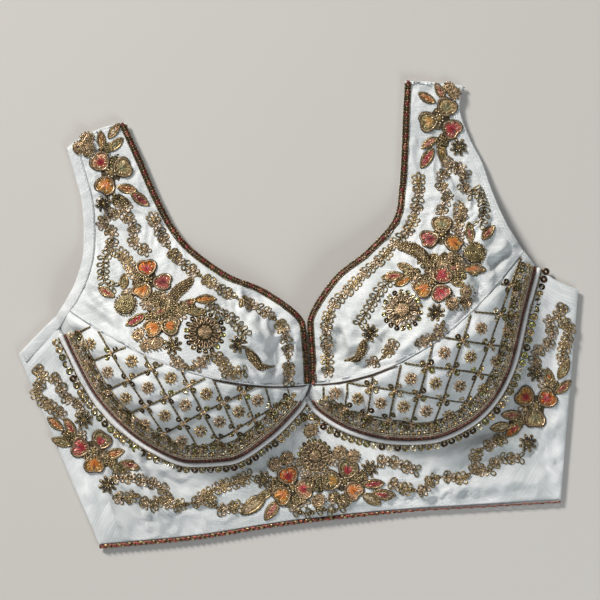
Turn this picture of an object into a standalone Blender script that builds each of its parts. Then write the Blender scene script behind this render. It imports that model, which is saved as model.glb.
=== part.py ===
# A choli blouse laid flat on a table, front up: two moulded cups with wide straps,
# a midriff band, and a low-backed pair of back panels that hook together behind.
# The frame is the garment's own: +X to the wearer's left, +Y towards the shoulders,
# +Z up from the table, origin on the table below the middle of the garment.
import math
from collections import namedtuple

import bpy
import bmesh
from mathutils import Vector

MM = 0.001                # every size below is in millimetres

# Cloth and seams
SEAM_GAP = 0.3            # between pieces that are sewn together
CROSS_SEAM_GAP = 0.45     # across the cup, measured in plan
BACK_WALL = 1.5           # lined raw silk
FRONT_WALL = 2.0          # lined and interlined, with embroidery
HOOK_RISE = 1.5           # the front rides over the hooks at centre back
HOOK_RISE_REACH = 14.0

# Cups
CUP_DEPTH = 50.0          # crest of the moulded cup above the band
CREST_AT_ARMHOLE = 7.0
CREST_AT_CENTRE = 6.0
CUP_FOOT_POWER = 2.2      # how late the lower cup turns down to the band
STRAP_STARTS = 0.30       # share of the upper panel's length where the strap lies flat
NECK_LIFT = 11.0          # the moulded edges stand off the table
ARMHOLE_LIFT = 7.0

# Trims
NECK_TRIM_WIDTH = 5.0
NECK_TRIM_THICK = 1.8
NECK_TRIM_INSET = 0.9
HEM_CORD = 3.6
PIPING = 3.4
BRAID_WIDTH = 13.0        # measured on the slope of the cup
BRAID_THICK = 1.6
BRAID_OFF_PIPING = 4.0
FACING_THICK = 1.0
FACING_LIFT = 0.6         # where it bridges the end of the lower cup

# Hooks and eyes
HOOK_COUNT = 5
HOOK_WIRE = 0.8
HOOK_LONG = 7.0
HOOK_WIDE = 4.0

# How finely the cloth is cut into facets: panels that meet have the same columns
CUP_COLUMNS = 16
UNDERARM_COLUMNS = 4
FINE = 10                 # points kept along an edge for each column

# The tables are drawn from the middle of the cups; the frame's origin is the middle of the
# whole outline, which is this far from it along the garment
OUTLINE_MIDDLE = -1.6

# Where the sections of the upper panel cross it, from the strap's top to the cup seam.
# Each is a line from the armhole edge to the neck edge that sags towards the hem.
Across = namedtuple("Across", "arm_x arm_y neck_x neck_y sag")
UPPER = {
    "right": [
        Across(-168.5, 151.0, -119.0, 165.5, -4.0),
        Across(-164.5, 128.0, -110.0, 138.0, -1.0),
        Across(-161.3, 104.0, -100.5, 107.0, 0.0),
        Across(-162.5, 82.5, -90.0, 80.0, 0.0),
        Across(-165.5, 63.0, -77.0, 60.0, 2.0),
        Across(-171.0, 48.0, -50.4, 36.0, 5.0),
        Across(-175.5, 39.5, -20.0, 18.5, 9.0),
        Across(-179.5, 33.5, 5.4, -11.0, 14.0),
        Across(-182.5, 29.5, 4.7, -35.0, 17.0),
        Across(-185.0, 26.5, 3.0, -59.0, 20.0),
    ],
    "left": [
        Across(152.5, 164.5, 106.0, 173.4, -1.0),
        Across(147.5, 146.0, 101.3, 146.0, 0.0),
        Across(153.0, 122.0, 97.0, 118.0, 0.0),
        Across(160.4, 102.3, 92.0, 91.0, 0.0),
        Across(164.7, 82.0, 85.0, 66.0, 2.0),
        Across(169.5, 63.5, 60.0, 42.5, 6.0),
        Across(174.0, 50.0, 30.0, 22.5, 11.0),
        Across(178.0, 41.0, 6.6, -11.0, 17.0),
        Across(181.5, 34.0, 5.9, -35.0, 21.0),
        Across(185.0, 28.0, 4.2, -59.0, 25.0),
    ],
}

# The piped seam between each cup and the band, from the armhole to the centre front
Point = namedtuple("Point", "x y")
CUP_EDGE = {
    "right": [
        Point(-192.5, 18.0), Point(-180.5, -18.0), Point(-168.0, -48.5), Point(-149.5, -75.0),
        Point(-127.0, -95.5), Point(-98.0, -110.0), Point(-68.0, -111.8), Point(-35.0, -97.5),
        Point(-10.0, -78.0), Point(-1.0, -67.0),
    ],
    "left": [
        Point(194.0, 14.0), Point(180.0, -21.5), Point(165.0, -62.0), Point(147.0, -88.5),
        Point(124.0, -105.0), Point(93.0, -113.0), Point(61.0, -109.5), Point(29.0, -97.0),
        Point(8.0, -80.5), Point(1.0, -67.0),
    ],
}

# The rest of the front's outline
UNDERARM = {"right": Point(-225.2, -8.5), "left": Point(225.2, -8.0)}
LOW_ARMHOLE = {"right": Point(-205.5, 8.0), "left": Point(207.0, 2.5)}
HEM = [
    Point(-178.5, -170.5), Point(-104.7, -172.0), Point(-43.0, -169.4), Point(0.0, -168.6),
    Point(65.0, -169.8), Point(114.7, -172.4), Point(192.2, -176.6),
]
HEM_STATIONS = {"right": -0.90, "left": 0.90}     # below the cups' outer ends, as a share of half the hem

# The back panels: a strap under each front strap, a low rounded neck, a straight centre back
BACK = {
    "right": [
        Point(-167.5, 150.0), Point(-163.0, 128.0), Point(-159.8, 104.0), Point(-160.3, 82.0),
        Point(-163.5, 60.0), Point(-171.0, 36.0), Point(-187.0, 12.0), Point(-203.0, 0.0),
    ],
    "left": [
        Point(151.5, 163.5), Point(146.5, 146.0), Point(151.5, 122.0), Point(158.6, 102.3),
        Point(162.7, 82.0), Point(168.0, 60.0), Point(177.0, 34.0), Point(202.0, -4.0),
    ],
}
BACK_NECK = {
    "right": [
        Point(-121.0, 163.5), Point(-112.5, 138.0), Point(-103.5, 107.0), Point(-96.0, 80.0),
        Point(-91.0, 50.0), Point(-82.0, 20.0), Point(-64.0, -10.0), Point(-36.0, -34.0),
    ],
    "left": [
        Point(108.0, 171.5), Point(103.5, 146.0), Point(99.5, 118.0), Point(95.0, 88.0),
        Point(89.5, 52.0), Point(80.0, 20.0), Point(62.0, -10.0), Point(35.0, -34.0),
    ],
}
BACK_NECK_LOW = -43.0     # bottom of the back neck, at centre back

SIDES = ("right", "left")
SIGN = {"right": -1.0, "left": 1.0}
FACING_WIDTH = {"right": 9.0, "left": 6.5}
FACING_ENDS = {"right": 1.0, "left": 0.86}        # share of the upper panel's armhole edge

SILK = ("ivory_raw_silk", (0.86, 0.85, 0.84), 0.55, 0.0)
SILK_BACK = ("ivory_raw_silk_back", (0.82, 0.81, 0.79), 0.60, 0.0)
BEAD_TRIM = ("gold_and_red_bead_trim", (0.42, 0.22, 0.10), 0.45, 0.3)
ZARI = ("antique_gold_zari", (0.45, 0.36, 0.18), 0.40, 0.5)
PIPING_CLOTH = ("white_piping", (0.88, 0.87, 0.87), 0.50, 0.0)
BRASS = ("brass_wire", (0.70, 0.55, 0.28), 0.30, 1.0)


def slope(a, b, c):
    """How fast a column changes at b: flat where it turns, so a curve never overshoots its rows."""
    if (b - a) * (c - b) <= 0.0:
        return 0.0
    gentlest = 2.0 * min(abs(b - a), abs(c - b))
    return math.copysign(min(0.5 * abs(c - a), gentlest), c - a)


def smooth(a, b, c, d, f):
    """One coordinate of a smooth curve from b to c, with a before and d after them."""
    start, end = slope(a, b, c), slope(b, c, d)
    rise = c - b
    return b + f * (start + f * (3.0 * rise - 2.0 * start - end + f * (start + end - 2.0 * rise)))


def between(rows, share):
    """A row between the rows of a table, every column read from a smooth curve."""
    place = min(max(share, 0.0), 1.0) * (len(rows) - 1)
    k = min(int(place), len(rows) - 2)
    first = rows[k - 1] if k else [2 * p - q for p, q in zip(rows[0], rows[1])]
    last = rows[k + 2] if k + 2 < len(rows) else [2 * p - q for p, q in zip(rows[-1], rows[-2])]
    return type(rows[0])(*[
        smooth(a, b, c, d, place - k) for a, b, c, d in zip(first, rows[k], rows[k + 1], last)
    ])


def along(points, count):
    """count points spaced evenly along the smooth curve through points."""
    fine = 24 * len(points)
    curve = [Vector(between(points, i / fine)) for i in range(fine + 1)]
    reached = [0.0]
    for a, b in zip(curve, curve[1:]):
        reached.append(reached[-1] + (b - a).length)
    spaced = []
    k = 0
    for i in range(count):
        goal = reached[-1] * i / (count - 1)
        while k < fine - 1 and reached[k + 1] < goal:
            k += 1
        spaced.append(curve[k].lerp(curve[k + 1], (goal - reached[k]) / (reached[k + 1] - reached[k])))
    return spaced


def at_share(points, share):
    """The point at a share of the way along points that are evenly spaced."""
    place = min(max(share, 0.0), 1.0) * (len(points) - 1)
    k = min(int(place), len(points) - 2)
    return points[k].lerp(points[k + 1], place - k)


def lay_height(x):
    """Top of the front where it lies flat on the back."""
    over_hooks = HOOK_RISE * math.exp(-(x / HOOK_RISE_REACH) ** 2)
    return BACK_WALL + SEAM_GAP + FRONT_WALL + over_hooks


def crest(s):
    """Height of the cup along its cross seam, from armhole to centre front."""
    ends = CREST_AT_ARMHOLE + (CREST_AT_CENTRE - CREST_AT_ARMHOLE) * s
    return ends + (CUP_DEPTH - ends) * math.sin(math.pi * s)


def upper_panel(side):
    """The strap and upper cup: s runs from armhole to neck, t from strap top to cup seam."""
    def point(s, t):
        row = between(UPPER[side], t)
        x = row.arm_x + (row.neck_x - row.arm_x) * s
        y = row.arm_y + (row.neck_y - row.arm_y) * s - 4.0 * row.sag * s * (1.0 - s)
        f = max(0.0, (t - STRAP_STARTS) / (1.0 - STRAP_STARTS))
        rise = crest(s) * f * f * (3.0 - 2.0 * f)
        lift = math.sin(math.pi * f) ** 2 * (NECK_LIFT * s ** 3 + ARMHOLE_LIFT * (1.0 - s) ** 3)
        return Vector((x, y, lay_height(x) + rise + lift))
    return point


def moved_out(points, side, distance):
    """A cup's seam line, run from armhole to centre front, moved away from the cup."""
    moved = []
    for k, point in enumerate(points):
        run = (points[min(k + 1, len(points) - 1)] - points[max(k - 1, 0)]).normalized()
        moved.append(point + Vector((run.y, -run.x)) * (-SIGN[side] * distance))
    return moved


def lower_cup(side):
    """The lower cup: u runs from armhole to centre front, v from the cup seam to the piped seam."""
    upper = upper_panel(side)
    edge = along(CUP_EDGE[side], FINE * CUP_COLUMNS + 1)

    def point(u, v):
        seam = upper(u, 1.0).xy
        run = (upper(min(u + 0.01, 1.0), 1.0) - upper(max(u - 0.01, 0.0), 1.0)).xy.normalized()
        seam += Vector((run.y, -run.x)) * (-SIGN[side] * CROSS_SEAM_GAP)
        plan = seam.lerp(at_share(edge, u), v)
        return Vector((plan.x, plan.y, lay_height(plan.x) + crest(u) * (1.0 - v ** CUP_FOOT_POWER)))
    return point


def band_top():
    """The band's upper edge from underarm to underarm, as four stretches with corners between."""
    stretches = []
    for side in SIDES:
        cup = moved_out(along(CUP_EDGE[side], FINE * CUP_COLUMNS + 1), side, SEAM_GAP)
        armhole = along([UNDERARM[side], LOW_ARMHOLE[side], Point(*cup[0])], FINE * UNDERARM_COLUMNS + 1)
        stretches.append((armhole, cup) if side == "right" else (cup[::-1], armhole[::-1]))
    return [*stretches[0], *stretches[1]]


def band_panel():
    """The midriff band: u runs from side seam to side seam, v from the cups to the hem."""
    top = band_top()
    hem = along(HEM, 161)
    breaks = [0.0, 0.5 + 0.5 * HEM_STATIONS["right"], 0.5, 0.5 + 0.5 * HEM_STATIONS["left"], 1.0]

    def point(u, v):
        k = min(int(u * 4), 3)
        f = u * 4 - k
        high = at_share(top[k], f)
        low = at_share(hem, breaks[k] + (breaks[k + 1] - breaks[k]) * f)
        low = low + Vector((0.0, HEM_CORD + SEAM_GAP))
        plan = high.lerp(low, v)
        return Vector((plan.x, plan.y, lay_height(plan.x)))
    return point


def steps(first, last, count):
    return [first + (last - first) * i / count for i in range(count + 1)]


def normal_at(panel, a, b, step=0.004):
    """The panel's upward normal."""
    across = panel(min(a + step, 1.0), b) - panel(max(a - step, 0.0), b)
    down = panel(a, min(b + step, 1.0)) - panel(a, max(b - step, 0.0))
    normal = across.cross(down).normalized()
    return normal if normal.z > 0.0 else -normal


def inset(panel, edge, b, distance, step=0.004):
    """The share a that lies a distance in from the panel's edge at a = 0 or a = 1."""
    inward = 1.0 if edge == 0.0 else -1.0
    across = (panel(edge + inward * step, b) - panel(edge, b)) / step
    run = (panel(edge, min(b + step, 1.0)) - panel(edge, max(b - step, 0.0))).normalized()
    return edge + inward * distance / max(across.cross(run).length, 1e-6)


def strip_rows(panel, edge, places, near, far, lift):
    """Rows of points on a panel beside one of its edges, moved out by lift."""
    rows = []
    for b in places:
        row = []
        for distance in (near, 0.5 * (near + far), far):
            a = min(max(inset(panel, edge, b, distance), 0.0), 1.0)
            row.append(panel(a, b) + normal_at(panel, a, b) * lift)
        rows.append(row)
    return rows


def transposed(panel):
    """The same panel with its two shares exchanged."""
    return lambda a, b: panel(b, a)


def clear_scene():
    for thing in list(bpy.data.objects):
        bpy.data.objects.remove(thing, do_unlink=True)


def new_collection(name):
    collection = bpy.data.collections.new(name)
    bpy.context.scene.collection.children.link(collection)
    return collection


def make_material(name, colour, roughness, metallic):
    material = bpy.data.materials.get(name) or bpy.data.materials.new(name)
    material.use_nodes = True
    shader = material.node_tree.nodes["Principled BSDF"]
    shader.inputs["Base Color"].default_value = (*colour, 1.0)
    shader.inputs["Roughness"].default_value = roughness
    shader.inputs["Metallic"].default_value = metallic
    return material


def placed(point):
    return Vector((point.x, point.y - OUTLINE_MIDDLE, point.z)) * MM


def add_object(name, data, finish, collection):
    thing = bpy.data.objects.new(name, data)
    data.materials.append(make_material(*finish))
    collection.objects.link(thing)
    return thing


def add_cloth(name, rows, wall, finish, collection, outward=False):
    """A cloth wall lofted through rows of points and given its thickness."""
    mesh = bpy.data.meshes.new(name)
    shape = bmesh.new()
    grid = [[shape.verts.new(placed(point)) for point in row] for row in rows]
    for row, following in zip(grid, grid[1:]):
        for k in range(len(row) - 1):
            shape.faces.new((row[k], row[k + 1], following[k + 1], following[k]))
    shape.normal_update()
    if sum(face.normal.z for face in shape.faces) < 0.0:
        bmesh.ops.reverse_faces(shape, faces=shape.faces)
    shape.to_mesh(mesh)
    shape.free()
    mesh.shade_smooth()
    mesh.set_sharp_from_angle(angle=math.radians(50.0))
    thing = add_object(name, mesh, finish, collection)
    solid = thing.modifiers.new("wall", "SOLIDIFY")
    solid.thickness = wall * MM
    solid.offset = 1.0 if outward else -1.0
    solid.use_even_offset = True
    return thing


def add_cord(name, path, diameter, finish, collection, sides=1, closed=False):
    """A cord or wire along a path, with closed ends."""
    curve = bpy.data.curves.new(name, "CURVE")
    curve.dimensions = "3D"
    curve.bevel_depth = 0.5 * diameter * MM
    curve.bevel_resolution = sides
    curve.use_fill_caps = True
    line = curve.splines.new("POLY")
    line.points.add(len(path) - 1)
    for spot, point in zip(line.points, path):
        spot.co = (*placed(point), 1.0)
    line.use_cyclic_u = closed
    return add_object(name, curve, finish, collection)


def add_flat(name, outline, wall, finish, collection):
    """A flat panel that lies on the table: its outline, filled and given its thickness."""
    curve = bpy.data.curves.new(name, "CURVE")
    curve.dimensions = "2D"
    curve.fill_mode = "BOTH"
    curve.extrude = 0.5 * wall * MM
    line = curve.splines.new("POLY")
    line.points.add(len(outline) - 1)
    for spot, point in zip(line.points, outline):
        spot.co = (*placed(Vector((point.x, point.y, 0.0))), 1.0)
    line.use_cyclic_u = True
    panel = add_object(name, curve, finish, collection)
    panel.location.z = 0.5 * wall * MM
    return panel


def front_panels(collection):
    for side in SIDES:
        upper = upper_panel(side)
        rows = [[upper(s, t) for s in steps(0.0, 1.0, CUP_COLUMNS)] for t in steps(0.0, 1.0, 22)]
        add_cloth(f"front_upper_{side}", rows, FRONT_WALL, SILK, collection)
        lower = lower_cup(side)
        rows = [[lower(u, v) for u in steps(0.0, 1.0, CUP_COLUMNS)] for v in steps(0.0, 1.0, 7)]
        add_cloth(f"cup_lower_{side}", rows, FRONT_WALL, SILK, collection)
    band = band_panel()
    stations = []
    for k, count in enumerate((UNDERARM_COLUMNS, CUP_COLUMNS, CUP_COLUMNS, UNDERARM_COLUMNS)):
        stations += steps(0.25 * k, 0.25 * (k + 1), count)[:-1]
    rows = [[band(u, v) for u in [*stations, 1.0]] for v in steps(0.0, 1.0, 5)]
    add_cloth("front_band", rows, FRONT_WALL, SILK, collection)


def back_panels(collection):
    """Each back panel runs down its armhole, side seam and hem, then up the centre back and neck."""
    for side in SIDES:
        sign = SIGN[side]
        hem = [p for p in along(HEM, 25) if p.x * sign > 1.0]
        hem = sorted(hem, key=lambda p: -p.x * sign)
        centre_low = min(HEM, key=lambda p: abs(p.x))
        off_centre = 0.5 * SEAM_GAP * sign
        lift = Vector((0.0, HEM_CORD + SEAM_GAP))
        outline = along(BACK[side] + [Point(UNDERARM[side].x - sign, UNDERARM[side].y - 2.0)], 16)
        outline += [p + lift for p in hem]
        outline.append(Vector((off_centre, centre_low.y)) + lift)
        outline.append(Vector((off_centre, BACK_NECK_LOW)))
        outline += along(BACK_NECK[side] + [Point(12.0 * sign, BACK_NECK_LOW + 0.5)], 16)[::-1]
        add_flat(f"back_{side}", outline, BACK_WALL, SILK_BACK, collection)


def trims(collection):
    lift = SEAM_GAP
    for side in SIDES:
        upper = upper_panel(side)
        lower = lower_cup(side)
        far = NECK_TRIM_INSET + NECK_TRIM_WIDTH
        rows = strip_rows(upper, 1.0, steps(0.004, 0.992, 44), NECK_TRIM_INSET, far, lift)
        add_cloth(f"neck_trim_{side}", rows, NECK_TRIM_THICK, BEAD_TRIM, collection, outward=True)

        far = BRAID_OFF_PIPING + BRAID_WIDTH
        starts = 0.055 if side == "right" else 0.012
        rows = strip_rows(transposed(lower), 1.0, steps(starts, 0.90, 28), BRAID_OFF_PIPING, far, lift)
        add_cloth(f"cup_braid_{side}", rows, BRAID_THICK, ZARI, collection, outward=True)
        add_piping(side, collection)
        add_facing(side, upper, lower, collection)
    add_hem_cord(collection)


def add_piping(side, collection):
    """A piping cord on the band, close against the foot of the cup."""
    clear = 0.5 * PIPING + SEAM_GAP
    edge = moved_out(along(CUP_EDGE[side], 2 * CUP_COLUMNS + 1), side, clear)
    first = 2 if side == "right" else 0
    path = [
        Vector((p.x, p.y, lay_height(p.x) + clear)) for p in edge[first:] if p.x * SIGN[side] > clear
    ]
    add_cord(f"cup_piping_{side}", path, PIPING, PIPING_CLOTH, collection)


def add_facing(side, upper, lower, collection):
    """The armhole facing, turned to the outside and stitched down."""
    width = FACING_WIDTH[side]
    rows = strip_rows(upper, 0.0, steps(0.012, FACING_ENDS[side], 20), 0.3, width, SEAM_GAP)
    if side == "right":
        rows += strip_rows(lower, 0.0, steps(0.15, 0.9, 3), 0.3, width, FACING_LIFT)
        armhole = transposed(band_panel())
        rows += strip_rows(armhole, 0.0, steps(0.235, 0.02, 6), 0.3, width, SEAM_GAP)
    add_cloth(f"armhole_facing_{side}", rows, FACING_THICK, SILK, collection, outward=True)


def add_hem_cord(collection):
    """The twisted cord along the front's hem."""
    hem = along(HEM, 26)
    height = lay_height(100.0) - 0.5 * FRONT_WALL
    path = [Vector((p.x, p.y + 0.5 * HEM_CORD, height)) for p in hem]
    add_cord("hem_trim", path, HEM_CORD, BEAD_TRIM, collection)


def hooks_and_eyes(collection):
    """Flat wire hooks on the right back catch wire eyes on the left back."""
    height = BACK_WALL + SEAM_GAP + 0.5 * HOOK_WIRE
    top = BACK_NECK_LOW - 10.0
    bottom = min(HEM, key=lambda p: abs(p.x)).y + 14.0
    half = 0.5 * HOOK_WIDE
    for k, y in enumerate(steps(top, bottom, HOOK_COUNT - 1)):
        bend = [math.radians(a) for a in steps(90.0, -90.0, 6)]
        hook = [Vector((-HOOK_LONG, y + 0.5 * half, height))]
        hook += [Vector((-1.5 + 0.5 * half * math.cos(a), y + 0.5 * half * math.sin(a), height)) for a in bend]
        hook.append(Vector((-HOOK_LONG, y - 0.5 * half, height)))
        add_cord(f"hook_{k + 1}", hook, HOOK_WIRE, BRASS, collection)
        loop = [math.radians(a) for a in steps(-125.0, 125.0, 8)]
        eye = [Vector((1.9 + half - half * math.cos(a), y + half * math.sin(a), height)) for a in loop]
        add_cord(f"eye_{k + 1}", eye, HOOK_WIRE, BRASS, collection)


def main():
    clear_scene()
    blouse = new_collection("choli_blouse")
    back_panels(blouse)
    front_panels(blouse)
    trims(blouse)
    hooks_and_eyes(blouse)


main()
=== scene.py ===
import math
from collections import namedtuple

import bpy
import numpy as np
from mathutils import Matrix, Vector, noise
from mathutils.bvhtree import BVHTree


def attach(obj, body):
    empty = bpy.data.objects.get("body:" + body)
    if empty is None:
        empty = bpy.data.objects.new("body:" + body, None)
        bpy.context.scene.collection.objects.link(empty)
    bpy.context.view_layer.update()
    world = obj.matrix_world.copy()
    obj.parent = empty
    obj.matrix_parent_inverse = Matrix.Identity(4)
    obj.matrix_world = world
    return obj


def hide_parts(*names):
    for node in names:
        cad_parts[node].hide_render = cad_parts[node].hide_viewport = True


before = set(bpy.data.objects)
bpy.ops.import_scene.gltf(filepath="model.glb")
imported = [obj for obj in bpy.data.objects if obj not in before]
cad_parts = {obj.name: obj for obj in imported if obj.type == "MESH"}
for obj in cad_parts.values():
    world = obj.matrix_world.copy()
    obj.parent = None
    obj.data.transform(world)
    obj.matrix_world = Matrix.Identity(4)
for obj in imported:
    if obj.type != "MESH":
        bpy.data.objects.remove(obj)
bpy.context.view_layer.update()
print("frame loaded")

mm = 0.001
outlineMiddle = -1.6               # where the frame's origin lies in the tables, in y
sides = ("right", "left")          # the wearer's sides
sign = {"right": -1.0, "left": 1.0}


# Camera, light and table
cameraSet = {"height": 2.4, "middle": (0.0032, 0.0107), "turn": -6.5, "across": 0.48}
lightSet = {
    "window": {"at": (-1.88, 2.75, 2.0), "size": 0.80, "power": 185.0, "colour": (1.0, 0.98, 0.95)},
    "ceiling": {"at": (-0.1, 0.1, 2.0), "size": 1.2, "power": 4.5, "colour": (0.96, 0.98, 1.0)},
    "fill": {"at": (0.7, -1.15, 1.0), "size": 0.8, "power": 9.5, "colour": (0.88, 0.95, 1.0)},
    "room": (0.125, 0.13, 0.138),
    "view": "Standard",
}


def addCamera():
    x, y = cameraSet["middle"]
    bpy.ops.object.camera_add(
        location=(x, y, cameraSet["height"]), rotation=(0.0, 0.0, math.radians(cameraSet["turn"]))
    )
    camera = bpy.context.object
    camera.data.sensor_width = 36.0
    camera.data.lens = 36.0 * cameraSet["height"] / cameraSet["across"]
    bpy.context.scene.camera = camera


def addLights():
    for name in ("window", "ceiling", "fill"):
        light = lightSet[name]
        aim = (-Vector(light["at"])).to_track_quat("-Z", "Y").to_euler()
        bpy.ops.object.light_add(type="AREA", location=light["at"], rotation=aim)
        lamp = bpy.context.object.data
        lamp.size = light["size"]
        lamp.energy = light["power"]
        lamp.color = light["colour"]
    world = bpy.data.worlds.new("room")
    world.use_nodes = True
    world.node_tree.nodes["Background"].inputs["Color"].default_value = (*lightSet["room"], 1.0)
    bpy.context.scene.world = world
    bpy.context.scene.view_settings.view_transform = lightSet["view"]


# The garment's form
strapStarts = 0.30
cup = {
    "depth": 50.0, "atArmhole": 7.0, "atCentre": 6.0, "footPower": 2.2, "neckLift": 11.0, "armholeLift": 7.0,
    "edgeSteps": 160,
}
wall = {"back": 1.5, "front": 2.0, "gap": 0.3, "hookRise": 1.5, "hookReach": 14.0, "crossGap": 0.45}
hemCord = 3.6

# Each row crosses the upper panel from the armhole to the neck: x, y, x, y and its sag
upperRows = {
    "right": [
        (-168.5, 151.0, -119.0, 165.5, -4.0), (-164.5, 128.0, -110.0, 138.0, -1.0),
        (-161.3, 104.0, -100.5, 107.0, 0.0), (-162.5, 82.5, -90.0, 80.0, 0.0),
        (-165.5, 63.0, -77.0, 60.0, 2.0), (-171.0, 48.0, -50.4, 36.0, 5.0),
        (-175.5, 39.5, -20.0, 18.5, 9.0), (-179.5, 33.5, 5.4, -11.0, 14.0),
        (-182.5, 29.5, 4.7, -35.0, 17.0), (-185.0, 26.5, 3.0, -59.0, 20.0),
    ],
    "left": [
        (152.5, 164.5, 106.0, 173.4, -1.0), (147.5, 146.0, 101.3, 146.0, 0.0),
        (153.0, 122.0, 97.0, 118.0, 0.0), (160.4, 102.3, 92.0, 91.0, 0.0),
        (164.7, 82.0, 85.0, 66.0, 2.0), (169.5, 63.5, 60.0, 42.5, 6.0),
        (174.0, 50.0, 30.0, 22.5, 11.0), (178.0, 41.0, 6.6, -11.0, 17.0),
        (181.5, 34.0, 5.9, -35.0, 21.0), (185.0, 28.0, 4.2, -59.0, 25.0),
    ],
}
cupEdge = {
    "right": [
        (-192.5, 18.0), (-180.5, -18.0), (-168.0, -48.5), (-149.5, -75.0), (-127.0, -95.5),
        (-98.0, -110.0), (-68.0, -111.8), (-35.0, -97.5), (-10.0, -78.0), (-1.0, -67.0),
    ],
    "left": [
        (194.0, 14.0), (180.0, -21.5), (165.0, -62.0), (147.0, -88.5), (124.0, -105.0),
        (93.0, -113.0), (61.0, -109.5), (29.0, -97.0), (8.0, -80.5), (1.0, -67.0),
    ],
}
underarm = {"right": (-225.2, -8.5), "left": (225.2, -8.0)}
lowArmhole = {"right": (-205.5, 8.0), "left": (207.0, 2.5)}
hemLine = [
    (-178.5, -170.5), (-104.7, -172.0), (-43.0, -169.4), (0.0, -168.6),
    (65.0, -169.8), (114.7, -172.4), (192.2, -176.6),
]
hemStations = (0.0, 0.05, 0.5, 0.95, 1.0)
# Each row crosses a back panel from its armhole or side seam to the neck or the centre back
backRows = {
    "right": [
        (-167.5, 150.0, -121.0, 163.5), (-163.0, 128.0, -112.5, 138.0), (-159.8, 104.0, -103.5, 107.0),
        (-160.3, 82.0, -96.0, 80.0), (-163.5, 60.0, -91.0, 50.0), (-171.0, 36.0, -82.0, 20.0),
        (-187.0, 12.0, -64.0, -10.0), (-203.0, 0.0, -36.0, -34.0), (-224.2, -10.5, -0.3, -43.0),
        (-210.0, -62.0, -0.3, -84.0), (-195.0, -114.0, -0.3, -125.0), (-178.5, -166.6, -0.3, -164.7),
    ],
    "left": [
        (151.5, 163.5, 108.0, 171.5), (146.5, 146.0, 103.5, 146.0), (151.5, 122.0, 99.5, 118.0),
        (158.6, 102.3, 95.0, 88.0), (162.7, 82.0, 89.5, 52.0), (168.0, 60.0, 80.0, 20.0),
        (177.0, 34.0, 62.0, -10.0), (202.0, -4.0, 35.0, -34.0), (224.2, -10.0, 0.3, -43.0),
        (214.0, -63.0, 0.3, -84.0), (203.5, -117.0, 0.3, -125.0), (192.2, -172.7, 0.3, -164.7),
    ],
}


def slope(a, b, c):                       # steepness of a curve at b that never overshoots its points
    if (b - a) * (c - b) <= 0.0:
        return 0.0
    return math.copysign(min(0.5 * abs(c - a), 2.0 * min(abs(b - a), abs(c - b))), c - a)


def smooth(a, b, c, d, f):
    start, end = slope(a, b, c), slope(b, c, d)
    rise = c - b
    return b + f * (start + f * (3.0 * rise - 2.0 * start - end + f * (start + end - 2.0 * rise)))


def between(rows, share):
    place = min(max(share, 0.0), 1.0) * (len(rows) - 1)
    k = min(int(place), len(rows) - 2)
    first = rows[k - 1] if k else [2 * p - q for p, q in zip(rows[0], rows[1])]
    last = rows[k + 2] if k + 2 < len(rows) else [2 * p - q for p, q in zip(rows[-1], rows[-2])]
    return tuple(smooth(a, b, c, d, place - k) for a, b, c, d in zip(first, rows[k], rows[k + 1], last))


def evenly(points, pitch=None, count=None):
    fine = 24 * len(points)
    curve = np.array([between(points, i / fine) for i in range(fine + 1)])
    reached = np.concatenate([[0.0], np.cumsum(np.linalg.norm(np.diff(curve, axis=0), axis=1))])
    if count is None:
        count = max(2, int(round(reached[-1] / pitch)) + 1)
    goals = np.linspace(0.0, reached[-1], count)
    return np.stack([np.interp(goals, reached, curve[:, k]) for k in range(curve.shape[1])], axis=1)


def atShare(points, share):
    place = min(max(share, 0.0), 1.0) * (len(points) - 1)
    k = min(int(place), len(points) - 2)
    return points[k] + (points[k + 1] - points[k]) * (place - k)


def movedOut(points, side, distance):     # a cup's seam line, moved away from the cup
    run = np.gradient(points, axis=0)
    run /= np.linalg.norm(run, axis=1)[:, None]
    return points + np.stack([run[:, 1], -run[:, 0]], axis=1) * (-sign[side] * distance)


def layHeight(x):
    rise = wall["hookRise"] * math.exp(-(x / wall["hookReach"]) ** 2)
    return wall["back"] + wall["gap"] + wall["front"] + rise


def crest(s):
    ends = cup["atArmhole"] + (cup["atCentre"] - cup["atArmhole"]) * s
    return ends + (cup["depth"] - ends) * math.sin(math.pi * s)


def upperPanel(side):                     # s from armhole to neck, t from strap top to cup seam
    rows = upperRows[side]

    def point(s, t):
        armX, armY, neckX, neckY, sag = between(rows, t)
        x = armX + (neckX - armX) * s
        y = armY + (neckY - armY) * s - 4.0 * sag * s * (1.0 - s)
        f = max(0.0, (t - strapStarts) / (1.0 - strapStarts))
        rise = crest(s) * f * f * (3.0 - 2.0 * f)
        lift = cup["neckLift"] * s ** 3 + cup["armholeLift"] * (1.0 - s) ** 3
        return np.array((x, y, layHeight(x) + rise + math.sin(math.pi * f) ** 2 * lift))
    return point


def lowerCup(side):                       # u from armhole to centre front, v from cup seam to piping
    upper = upperPanel(side)
    seam = np.array([upper(u, 1.0)[:2] for u in np.linspace(0.0, 1.0, cup["edgeSteps"] + 1)])
    seam = movedOut(seam, side, wall["crossGap"])
    edge = evenly(cupEdge[side], count=cup["edgeSteps"] + 1)

    def point(u, v):
        plan = atShare(seam, u)
        plan = plan + (atShare(edge, u) - plan) * v
        z = layHeight(plan[0]) + crest(u) * (1.0 - v ** cup["footPower"])
        return np.array((plan[0], plan[1], z))
    return point


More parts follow.
